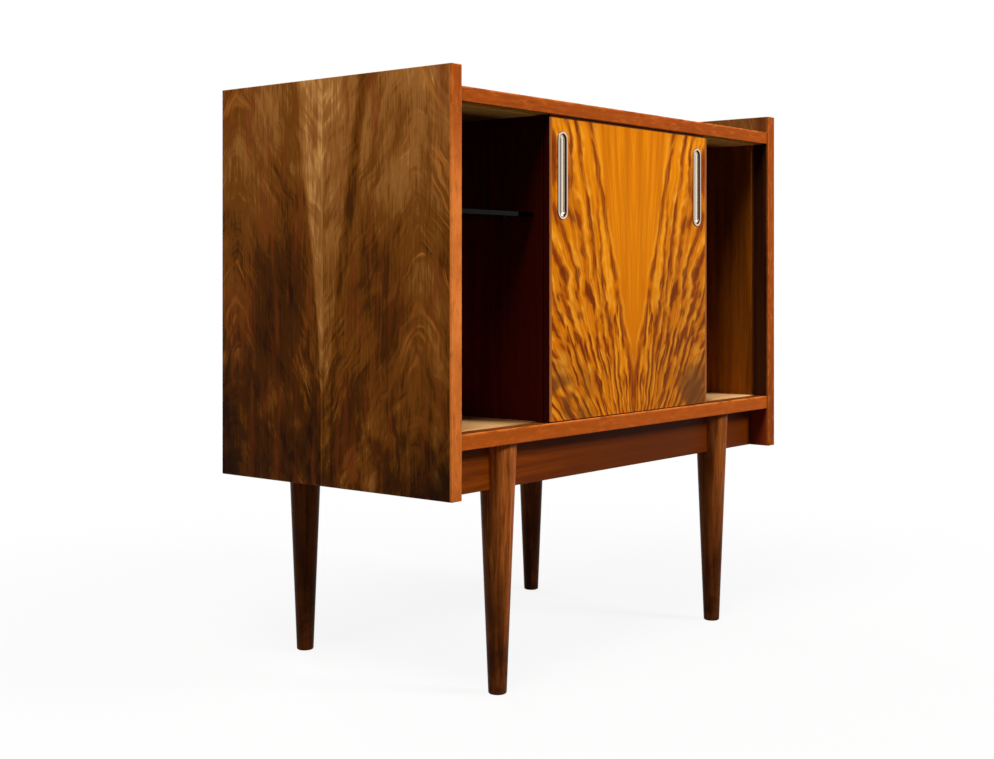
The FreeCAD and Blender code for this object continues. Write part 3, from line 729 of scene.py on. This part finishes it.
def door_edge(name, colours):
    """Straight-grained lipping of the door: pale on its front arris, with painted shade making its outer face
    dark.
    """
    low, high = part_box("door_lipping_right")
    made = straight_wood(
        name, colours.edge_light, colours.edge_dark, ALONG_Z, across=300.0, along=8.0, roughness=0.4,
        wear=(low, high, DOOR_ARRIS_WEAR),
    )
    x = made.bench.parts(made.place)[0]
    # Painted shade: the outer face takes the dark partition tone
    outer_face = abs(x).step(high.x - 0.0007, high.x - 0.0002)
    made.lay(outer_face, colours.partition_dark)


def front_lipping(name, colours):
    """Red brown lipping, its grain upright on the sides and level on the top and bottom."""
    made = Finish(name)
    bench = made.bench
    low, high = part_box("side_lipping_right")
    middle = (low.z + high.z) / 2
    x, _, z = bench.parts(made.place)
    on_side = bench.math("GREATER_THAN", abs(x), low.x)
    on_level = 1.0 - on_side
    upright = made.use("Straight grain", Vector=made.place, **LIPPING_GRAIN)
    level = made.use("Straight grain", Vector=made.turned(ALONG_X), **LIPPING_GRAIN)
    figure, pores, mottle = (
        bench.mix_value(on_side, level[output], upright[output]) for output in ("Figure", "Pores", "Mottle")
    )
    made.paint(bench.mix(figure, colours.lipping_dark, colours.lipping_warm))

    # Painted light and shade: the left side is lighter in its middle and the right one darker towards its
    # foot
    lighter = on_side * x.step(0.3, -0.3, 0.0, 0.8)
    lighter = lighter * z.step(high.z, high.z - 0.2, 0.05, 1.0) * z.step(low.z, low.z + 0.2, 0.45, 1.0)
    made.lay(lighter, colours.lipping_light)
    darker = on_side * x.step(-0.3, 0.3) * z.step(high.z - 0.3, low.z + 0.05, 0.3, 0.9)
    made.lay(darker, deeper(colours.lipping_dark, 0.6))

    # Mottling and patches; the bottom's lipping is lighter than the top's
    made.lay(mottle * 0.45, colours.lipping_dark)
    along = bench.mix_value(on_side, x, z)
    across = bench.mix_value(on_side, z, x)
    patches = bench.drawn_noise((along, 45.0), (across, 160.0), 3.0, 0.6, 0.4)
    made.lay(patches.step(0.52, 0.70, 0.0, 0.28), colours.lipping_light)
    made.lay(patches.step(0.46, 0.30, 0.0, 0.35), deeper(colours.lipping_dark, 0.45))
    made.lay(on_level * z.step(middle, middle - 0.01, 0.0, 0.5), colours.lipping_warm)
    made.lay(on_level * z.step(middle, middle + 0.01, 0.0, 0.25), colours.lipping_dark)
    made.lay(pores * 0.4, deeper(colours.lipping_dark, 0.4))

    # Worn edges of the sides, partly painted highlight, and painted highlights on the upper arrises of the
    # top and bottom
    wear_and_highlight = made.wear(low, high, ARRIS_WEAR) * on_side
    for panel in ("top_panel", "bottom_panel"):
        from_arris = abs(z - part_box(panel)[1].z)
        wear_and_highlight = bench.most(wear_and_highlight, from_arris.step(0.003, 0.0008) * patches.step(0.35, 0.55) * on_level)
    made.lay(wear_and_highlight * 0.4, colours.lipping_light)
    made.surface(roughness=0.42, height=pores * -PORE_RELIEF_SHARE, distance=VENEER_RELIEF)
    made.fix("Specular IOR Level", VENEER_SHEEN)


def light_lining(name, colours):
    """Light matt veneer on the floor of the case and under its top, with painted shade: browner under the
    top, darker at the back, and at the feet of the partitions.
    """
    low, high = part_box("wall_liner_right")
    made = straight_wood(
        name, colours.lining_light, colours.lining_dark, ALONG_X, across=90.0, along=4.0, roughness=0.5,
        pore_depth=0.25,
    )
    bench = made.bench
    x, y, z = bench.parts(made.place)
    # Painted shade: overhead the lining takes a browner tone that darkens towards the back
    overhead = bench.math("GREATER_THAN", z, (low.z + high.z) / 2)
    brown = bench.mix(0.6, made.tone, colours.ceiling)
    brown = bench.mix(y.step(low.y + 0.02, low.y + 0.07, 0.0, 0.95), brown, colours.partition)
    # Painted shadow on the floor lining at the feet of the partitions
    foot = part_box("partition_right")[1].x
    made.lay(abs(x).step(foot + 0.08, foot + 0.01, 0.0, 0.85), colours.lining_shading)
    made.lay(overhead, brown)


def case_panel(name, colours):
    """Red brown veneer of the top and bottom, stained on the bottom's face that the lining partly covers,
    with painted light on the underside of the top.
    """
    made = straight_wood(
        name, colours.case_light, colours.case_dark, ALONG_X, across=70.0, along=4.0, roughness=0.36
    )
    z = made.bench.parts(made.place)[2]
    ground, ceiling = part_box("bottom_panel")[1].z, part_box("top_panel")[0].z
    # The bottom's face takes its stain; the underside of the top takes the light ceiling tone as painted
    # light
    for face, stain in ((ground, colours.case_covered), (ceiling, colours.ceiling)):
        made.lay(abs(z - face).step(0.002, 0.001, 0.0, 0.8), stain)


def partition_wood(name, colours):
    """Dark stained veneer of the partitions, its near black tone partly painted shade, with painted shade at
    the front and painted light, a lighter red, towards the back.
    """
    low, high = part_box("partition_right")
    made = straight_wood(
        name, colours.partition, colours.partition_dark, ALONG_Z, across=110.0, along=5.0, roughness=0.5
    )
    depth = made.bench.parts(made.place)[1]
    # Painted shade at the front and painted light towards the back
    made.lay(depth.step(low.y + 0.06, low.y, 0.0, 0.6), colours.partition_dark)
    made.lay(depth.step(low.y + 0.06, high.y, 0.0, 0.8), colours.partition_painted_light)


def rail_wood(name, colours):
    """Level-grained veneer of the rails, browner to the right."""
    low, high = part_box("rail_front")
    made = straight_wood(
        name, colours.rail_light, colours.rail_dark, ALONG_X, across=100.0, along=5.0, roughness=0.42,
        pore_depth=0.3,
    )
    x = made.bench.parts(made.place)[0]
    made.lay(x.step(low.x, high.x * 0.2, 0.0, 0.9), colours.rail_dark)


def leg_wood(name, colours):
    """Straight-grained wood of the legs, with painted shade: two of them darker, and darker towards the feet.
    """
    made = straight_wood(
        name, colours.leg_light, colours.leg_dark, ALONG_Z, across=160.0, along=6.0, roughness=0.34
    )
    x, y, z = made.bench.parts(made.place)
    # Painted shade: the front right and back left legs are darker
    leg_shading = deeper(colours.leg_dark, 0.18)
    made.lay((x * y).step(0.01, -0.01, 0.0, 0.4), leg_shading)
    # Painted shade, broken by clouds, that deepens towards the feet
    cloud = made.bench.noise(made.place, 40.0, 3.0, 0.6)
    shading = z.step(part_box("leg_front_left")[1].z, 0.0, 0.0, 0.97) * cloud.step(0.2, 0.7, 0.7, 1.0)
    made.lay(shading, leg_shading)


def pull_metal(name, colours):
    """Bright plated rim with painted reflections: dull beside its crest, dark flanks, a bright trough with a
    grey bottom and a mauve wall, and fine tarnish spots.
    """
    made = Finish(name)
    bench = made.bench
    low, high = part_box("pull_right")
    middle = (low + high) / 2
    rounding = (high.x - low.x) / 2
    x, depth, z = bench.parts(made.place)

    # Painted reflections: dull beside the crest of the rim, as if it were rounded, bright on the walls of the
    # trough and grey on its bottom
    sideways = abs(x) - middle.x
    past_end = abs(z - middle.z) - ((high.z - low.z) / 2 - rounding)
    from_axis = bench.size(bench.combine(sideways, bench.most(past_end, 0.0)))
    off_crest = abs(from_axis - (rounding - PULL_CREST))
    flank = bench.most(depth.step(low.y + 0.0004, low.y + 0.0009), off_crest.step(0.0006, 0.0014))
    made.paint(bench.mix(flank, colours.chrome, colours.chrome_dull))
    made.lay(depth.step(low.y + 0.0022, low.y + 0.0036), colours.chrome_bright_reflection)
    made.lay(depth.step(high.y - 0.0034, high.y - 0.0018), colours.chrome_grey)

    # Painted reflections, mauve, on the left wall and on the right edge, and fine tarnish spots all over
    own_side = sideways * bench.math("SIGN", x)
    mauve_reflection = own_side.step(-0.0024, -0.0052) * flank
    mauve_reflection = bench.most(mauve_reflection, own_side.step(rounding - 0.003, rounding - 0.001))
    made.lay(mauve_reflection * 0.4, colours.chrome_mauve)
    spots = bench.noise(made.place, 700.0, 3.0, 0.6).step(0.55, 0.75)
    made.lay(spots * 0.2, colours.chrome_dull)
    made.surface(roughness=0.16, height=spots, distance=0.00003, strength=0.2)
    made.fix("Metallic", 1.0)


def steel_metal(name, colours):
    """Plain steel with fine turning marks."""
    made = Finish(name)
    marks = made.bench.noise(made.place, 1400.0, 3.0, 0.6)
    made.paint(made.bench.mix(marks.step(0.35, 0.7), deeper(colours.steel, 0.6), colours.steel))
    made.surface(roughness=0.32, height=marks, distance=0.00005, strength=0.3)
    made.fix("Metallic", 1.0)


def shelf_glass(name, colours):
    """Clear glass with a faint green tint and a trace of dust."""
    made = Finish(name)
    bench = made.bench
    dust = bench.noise(made.place, 24.0, 4.0, 0.65, 0.4).step(0.45, 0.75)
    made.paint(bench.mix(dust * 0.12, colours.glass, deeper(colours.glass, 0.8)))
    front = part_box("glass_shelf")[0].y
    depth = bench.parts(made.place)[1]
    made.lay(depth.step(front + 0.0012, front + 0.0004), colours.glass_edge)
    made.surface(roughness=0.03, height=dust, distance=0.00002, strength=0.1)
    made.fix("Transmission Weight", 1.0)
    made.fix("Specular Tint", GLASS_TINT)
    made.fix("IOR", GLASS_REFRACTION)


# Finishes that are more than a straight grain, by material slot
FINISH_MAKERS = {
    "side_veneer": side_veneer,
    "front_lipping": front_lipping,
    "case_veneer": case_panel,
    "door_veneer": door_veneer,
    "door_lipping": door_edge,
    "partition_veneer": partition_wood,
    "light_lining": light_lining,
    "leg_wood": leg_wood,
    "rail_wood": rail_wood,
    "shelf_glass": shelf_glass,
    "bright_metal": pull_metal,
    "steel": steel_metal,
}

# Plain woods by material slot: the first word of their two colours, and what their grain is like
PLAIN_WOODS = {
    "wall_lining": ("wall", {"turn": ALONG_Z, "across": 80.0, "along": 4.0, "roughness": 0.5}),
    "back_board": ("back", {"turn": ALONG_X, "across": 60.0, "along": 3.0, "roughness": 0.6}),
    "track_wood": ("track", {"turn": ALONG_X, "across": 120.0, "along": 6.0, "roughness": 0.5}),
    "plain_wood": ("plain", {"turn": ALONG_X, "across": 120.0, "along": 6.0, "roughness": 0.6}),
}


def finish(slot):
    """The material of a slot, made the first time it is asked for."""
    name = slot + "_finish"
    if name not in bpy.data.materials:
        colours = bpy.context.scene.cellarette_colours
        if slot in PLAIN_WOODS:
            kind, grain = PLAIN_WOODS[slot]
            light, dark = getattr(colours, kind + "_light"), getattr(colours, kind + "_dark")
            straight_wood(name, light, dark, **grain)
        else:
            FINISH_MAKERS[slot](name, colours)
    return bpy.data.materials[name]


def dress(*nodes, slot=None):
    """Gives CAD nodes that stay as they are the finish of their slot, or another one that is named."""
    for node in nodes:
        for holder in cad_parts[node].material_slots:
            holder.material = finish(slot or holder.material.name)


def new_piece(name, bm, body, slot, *replaced):
    """Makes a piece from a bmesh, in the finish of its slot, riding a body and standing for CAD nodes."""
    mesh = bpy.data.meshes.new(name)
    bm.to_mesh(mesh)
    bm.free()
    piece = bpy.data.objects.new(name, mesh)
    bpy.context.scene.collection.objects.link(piece)
    mesh.materials.append(finish(slot))
    if replaced:
        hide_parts(*replaced)
    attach(piece, body)


def near(first, second):
    """Whether two places on one axis are the same."""
    return abs(first - second) < SAME_PLACE


def ease(bm, width, keep):
    """Eases the edges of a board, apart from those whose middle is to be kept sharp."""
    edges = [edge for edge in bm.edges if not keep((edge.verts[0].co + edge.verts[1].co) / 2)]
    bmesh.ops.bevel(
        bm, geom=edges, offset=width, offset_type="OFFSET", affect="EDGES", segments=EASING_SEGMENTS,
        profile=0.5, material=-1, clamp_overlap=True,
    )


def faces_at(place, low, high):
    """The faces of a board on which a place lies."""
    faces = set()
    for axis, (first, last) in enumerate(BOARD_FACES):
        if near(place[axis], low[axis]):
            faces.add(first)
        if near(place[axis], high[axis]):
            faces.add(last)
    return faces


def eased_board(name, node, body, slot, width, eased=ALL_FACES, sharp=frozenset()):
    """Replaces a CAD board by one that is eased along some faces, but not where they meet sharp ones."""
    low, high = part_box(node)

    def keep(at):
        faces = faces_at(at, low, high)
        return faces.isdisjoint(eased) or not faces.isdisjoint(sharp)

    bm = bmesh.new()
    bmesh.ops.create_cube(bm, size=1.0)
    bmesh.ops.scale(bm, vec=high - low, verts=bm.verts)
    bmesh.ops.translate(bm, vec=(low + high) / 2, verts=bm.verts)
    ease(bm, width, keep)
    new_piece(name, bm, body, slot, node)


class CELLARETTE_OT_side_boards(bpy.types.Operator):
    """Makes the two veneered side boards, rebated for the back"""

    bl_idname = "cellarette.side_boards"
    bl_label = "Side boards"

    def execute(self, context):
        easing = context.scene.cellarette_sizes.board_easing
        back_low, back_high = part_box("back_panel")
        for side, sign in (("left", -1), ("right", 1)):
            node = "side_panel_" + side
            low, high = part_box(node)
            outer = sign * max(abs(low.x), abs(high.x))
            inner = sign * min(abs(low.x), abs(high.x))
            rebate = sign * back_high.x
            outline = (
                (inner, low.y), (outer, low.y), (outer, high.y),
                (rebate, high.y), (rebate, back_low.y), (inner, back_low.y),
            )
            bm = bmesh.new()
            face = bm.faces.new([bm.verts.new((x, y, low.z)) for x, y in outline])
            grown = bmesh.ops.extrude_face_region(bm, geom=[face])["geom"]
            top = [item for item in grown if isinstance(item, bmesh.types.BMVert)]
            bmesh.ops.translate(bm, vec=(0.0, 0.0, high.z - low.z), verts=top)
            bmesh.ops.recalc_face_normals(bm, faces=bm.faces)
            ease(bm, easing, lambda at: near(at.y, low.y) or near(at.y, back_low.y) or near(at.x, rebate))
            new_piece("side_board_" + side, bm, "case", "side_veneer", node)
        return {"FINISHED"}


class CELLARETTE_OT_front_lippings(bpy.types.Operator):
    """Makes the lippings on the front edges of the sides, the top and the bottom"""

    bl_idname = "cellarette.front_lippings"
    bl_label = "Front lippings"

    def execute(self, context):
        easing = context.scene.cellarette_sizes.lipping_easing
        for node in ("side_lipping_left", "side_lipping_right", "top_lipping", "bottom_lipping"):
            glued = {"back"} if node.startswith("side") else {"back", "left", "right"}
            name = node.replace("lipping", "edge")
            eased_board(name, node, "case", "front_lipping", easing, sharp=glued)
        return {"FINISHED"}


class CELLARETTE_OT_top_and_bottom(bpy.types.Operator):
    """Finishes the top and bottom panels and the dowels that hold them"""

    bl_idname = "cellarette.top_and_bottom"
    bl_label = "Top and bottom"

    def execute(self, context):
        dress("top_panel", "bottom_panel", "case_dowels")
        return {"FINISHED"}


class CELLARETTE_OT_lining(bpy.types.Operator):
    """Makes the partitions and the wall lining, and finishes the floor and ceiling lining"""

    bl_idname = "cellarette.lining"
    bl_label = "Lining"

    def execute(self, context):
        easing = context.scene.cellarette_sizes.lining_easing
        for kind, slot in (("partition", "partition_veneer"), ("wall_liner", "wall_lining")):
            for side in ("left", "right"):
                name, node = f"{kind}_board_{side}", f"{kind}_{side}"
                eased_board(name, node, "case", slot, easing, eased={"front"})
        dress("floor_liner", "ceiling_liner")
        return {"FINISHED"}


class CELLARETTE_OT_glass_shelf(bpy.types.Operator):
    """Makes the glass shelf with polished edges and finishes its pins"""

    bl_idname = "cellarette.glass_shelf"
    bl_label = "Glass shelf"

    def execute(self, context):
        easing = context.scene.cellarette_sizes.glass_easing
        eased_board("glass_shelf_pane", "glass_shelf", "case", "shelf_glass", easing)
        dress("shelf_pins")
        return {"FINISHED"}


class CELLARETTE_OT_back(bpy.types.Operator):
    """Finishes the back panel and adds the panel pins round its edge"""

    bl_idname = "cellarette.back"
    bl_label = "Back"

    def execute(self, context):
        sizes = context.scene.cellarette_sizes
        dress("back_panel")
        low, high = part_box("back_panel")
        first = Vector((low.x + sizes.pin_inset, high.y, low.z + sizes.pin_inset))
        last = Vector((high.x - sizes.pin_inset, high.y, high.z - sizes.pin_inset))
        columns = math.ceil((last.x - first.x) / sizes.pin_spacing)
        rows = math.ceil((last.z - first.z) / sizes.pin_spacing)
        places = []
        for column in range(columns + 1):
            x = first.x + (last.x - first.x) * column / columns
            places += [(x, first.z), (x, last.z)]
        for row in range(1, rows):
            z = first.z + (last.z - first.z) * row / rows
            places += [(first.x, z), (last.x, z)]
        to_back = Vector((0, 0, 1)).rotation_difference(Vector((0, 1, 0))).to_matrix()
        bm = bmesh.new()
        for x, z in places:
            head = bmesh.ops.create_cone(
                bm, cap_ends=True, segments=PIN_SEGMENTS, radius1=sizes.pin_radius,
                radius2=sizes.pin_radius * PIN_TAPER, depth=sizes.pin_height,
            )["verts"]
            bmesh.ops.rotate(bm, verts=head, matrix=to_back)
            bmesh.ops.translate(bm, vec=(x, high.y + sizes.pin_height / 2, z), verts=head)
        new_piece("back_panel_pins", bm, "case", "steel")
        return {"FINISHED"}


class CELLARETTE_OT_rails(bpy.types.Operator):
    """Makes the two rails of the underframe and finishes their corner blocks"""

    bl_idname = "cellarette.rails"
    bl_label = "Rails"

    def execute(self, context):
        easing = context.scene.cellarette_sizes.rail_easing
        ends = {"left", "right"}
        for node in ("rail_front", "rail_back"):
            eased_board(node + "_board", node, "case", "rail_wood", easing, eased={"bottom"}, sharp=ends)
        dress("corner_blocks")
        return {"FINISHED"}


class CELLARETTE_OT_legs(bpy.types.Operator):
    """Finishes the four turned legs and their screws"""

    bl_idname = "cellarette.legs"
    bl_label = "Legs"

    def execute(self, context):
        dress("leg_front_left", "leg_front_right", "leg_back_left", "leg_back_right", "leg_screws")
        return {"FINISHED"}


class CELLARETTE_OT_door(bpy.types.Operator):
    """Finishes the sliding door, its runner and guide, and makes the lippings of its upright edges"""

    bl_idname = "cellarette.door"
    bl_label = "Door"

    def execute(self, context):
        easing = context.scene.cellarette_sizes.lipping_easing
        dress("door_panel")
        dress("door_runner", "door_guide", slot="track_wood")
        for side, glued in (("left", "right"), ("right", "left")):
            name, node = "door_edge_" + side, "door_lipping_" + side
            eased_board(name, node, "door", "door_lipping", easing, sharp={glued})
        return {"FINISHED"}


class CELLARETTE_OT_pulls(bpy.types.Operator):
    """Finishes the two flush pulls of the door"""

    bl_idname = "cellarette.pulls"
    bl_label = "Pulls"

    def execute(self, context):
        dress("pull_left", "pull_right")
        return {"FINISHED"}


def plainly_seen(bench):
    """1 where the camera, metal or glass looks, and 0 where light is gathered."""
    path = bench.wires(bench.add("ShaderNodeLightPath"))
    return bench.most(path["Is Camera Ray"], path["Is Glossy Ray"], path["Is Transmission Ray"])


def studio_world(ambient):
    """Even light from all round, and plain white where the camera, metal or glass sees past the object."""
    world = bpy.data.worlds.new("Studio")
    world.use_nodes = True
    world.node_tree.nodes.clear()
    bench = NodeBench(world.node_tree)
    strength = bench.wire("ShaderNodeMapRange", {"Value": plainly_seen(bench), "To Min": ambient})
    light = bench.wire("ShaderNodeBackground", {"Color": WHITE, "Strength": strength})
    bench.add("ShaderNodeOutputWorld", {"Surface": light})
    return world


def floor_material(tone, radius):
    """A pale floor that keeps the shadow, throws little light back up and fades into the white background."""
    material = bpy.data.materials.new("Pale floor")
    material.use_nodes = True
    material.node_tree.nodes.clear()
    bench = NodeBench(material.node_tree)
    away = bench.size(bench.wire("ShaderNodeTexCoord", output="Object"))
    seen = plainly_seen(bench)
    glow = seen * away.step(FLOOR_GLOW_START, radius * FLOOR_GLOW_END_SHARE, FLOOR_GLOW, 1.0)
    matt_tone = bench.mix(seen, deeper(tone, FLOOR_BOUNCE), tone)
    matt = bench.wire("ShaderNodeBsdfDiffuse", {"Color": matt_tone})
    white = bench.wire("ShaderNodeEmission", {"Color": WHITE, "Strength": 1.0})
    mixed = bench.wire("ShaderNodeMixShader", {0: glow, 1: matt, 2: white})
    bench.add("ShaderNodeOutputMaterial", {"Surface": mixed})
    return material


def soft_box(name, place, target, width, watts):
    """A square area light at a place, turned towards a target."""
    light = bpy.data.lights.new(name, "AREA")
    light.shape = "SQUARE"
    light.size = width
    light.energy = watts
    lamp = bpy.data.objects.new(name, light)
    lamp.location = place
    lamp.rotation_euler = (Vector(target) - Vector(place)).to_track_quat("-Z", "Y").to_euler()
    bpy.context.scene.collection.objects.link(lamp)


class CELLARETTE_OT_stage(bpy.types.Operator):
    """Makes the pale floor, the soft studio light and the camera of the photograph"""

    bl_idname = "cellarette.stage"
    bl_label = "Stage"

    def execute(self, context):
        scene = context.scene
        stage = scene.cellarette_stage
        scene.view_settings.view_transform = "Standard"
        scene.world = studio_world(stage.ambient)
        bm = bmesh.new()
        bmesh.ops.create_circle(bm, cap_ends=True, segments=FLOOR_SEGMENTS, radius=stage.floor_radius)
        mesh = bpy.data.meshes.new("floor")
        bm.to_mesh(mesh)
        bm.free()
        floor = bpy.data.objects.new("floor", mesh)
        scene.collection.objects.link(floor)
        mesh.materials.append(floor_material(scene.cellarette_colours.floor, stage.floor_radius))
        target = (0.0, 0.0, CAD_HIGH.z * LIGHT_TARGET_SHARE)
        for kind, (place, width) in SOFT_BOXES.items():
            soft_box(kind + "_soft_box", place, target, width, getattr(stage, kind + "_power"))
        lens = bpy.data.cameras.new("camera")
        lens.sensor_fit = "HORIZONTAL"
        lens.lens = lens.sensor_width * stage.focal_pixels / PHOTO_WIDTH
        lens.shift_y = (stage.horizon - PHOTO_HEIGHT / 2) / PHOTO_WIDTH
        camera = bpy.data.objects.new("camera", lens)
        camera.location = stage.camera_place
        camera.rotation_euler = (math.pi / 2, 0.0, stage.camera_turn)
        scene.collection.objects.link(camera)
        scene.camera = camera
        return {"FINISHED"}


PIECE_OPERATORS = (
    CELLARETTE_OT_side_boards,
    CELLARETTE_OT_front_lippings,
    CELLARETTE_OT_top_and_bottom,
    CELLARETTE_OT_lining,
    CELLARETTE_OT_glass_shelf,
    CELLARETTE_OT_back,
    CELLARETTE_OT_rails,
    CELLARETTE_OT_legs,
    CELLARETTE_OT_door,
    CELLARETTE_OT_pulls,
    CELLARETTE_OT_stage,
)

# The settings, by the name under which the scene holds them
SETTINGS = {
    "cellarette_sizes": CellaretteSizes,
    "cellarette_colours": CellaretteColours,
    "cellarette_stage": CellaretteStage,
}


class CELLARETTE_PT_dressing(bpy.types.Panel):
    """Lists the pieces, the sizes and the colours of the cellarette"""

    bl_idname = "CELLARETTE_PT_dressing"
    bl_label = "Cellarette"
    bl_space_type = "VIEW_3D"
    bl_region_type = "UI"
    bl_category = "Cellarette"

    def draw(self, context):
        layout = self.layout
        for operator in PIECE_OPERATORS:
            layout.operator(operator.bl_idname)
        for settings in SETTINGS:
            holder = getattr(context.scene, settings)
            box = layout.box()
            for name in holder.bl_rna.properties.keys():
                if name not in {"rna_type", "name"}:
                    box.prop(holder, name)


CLASSES = (*SETTINGS.values(), *PIECE_OPERATORS, CELLARETTE_PT_dressing)


def register():
    """Registers the classes and the settings of the scene."""
    for item in CLASSES:
        bpy.utils.register_class(item)
    for name, kind in SETTINGS.items():
        setattr(bpy.types.Scene, name, PointerProperty(type=kind))


def unregister():
    """Removes the settings and the classes."""
    for name in SETTINGS:
        delattr(bpy.types.Scene, name)
    for item in reversed(CLASSES):
        bpy.utils.unregister_class(item)


def main():
    register()
    for operator in PIECE_OPERATORS:
        family, name = operator.bl_idname.split(".")
        getattr(getattr(bpy.ops, family), name)()


if __name__ == "__main__":
    main()
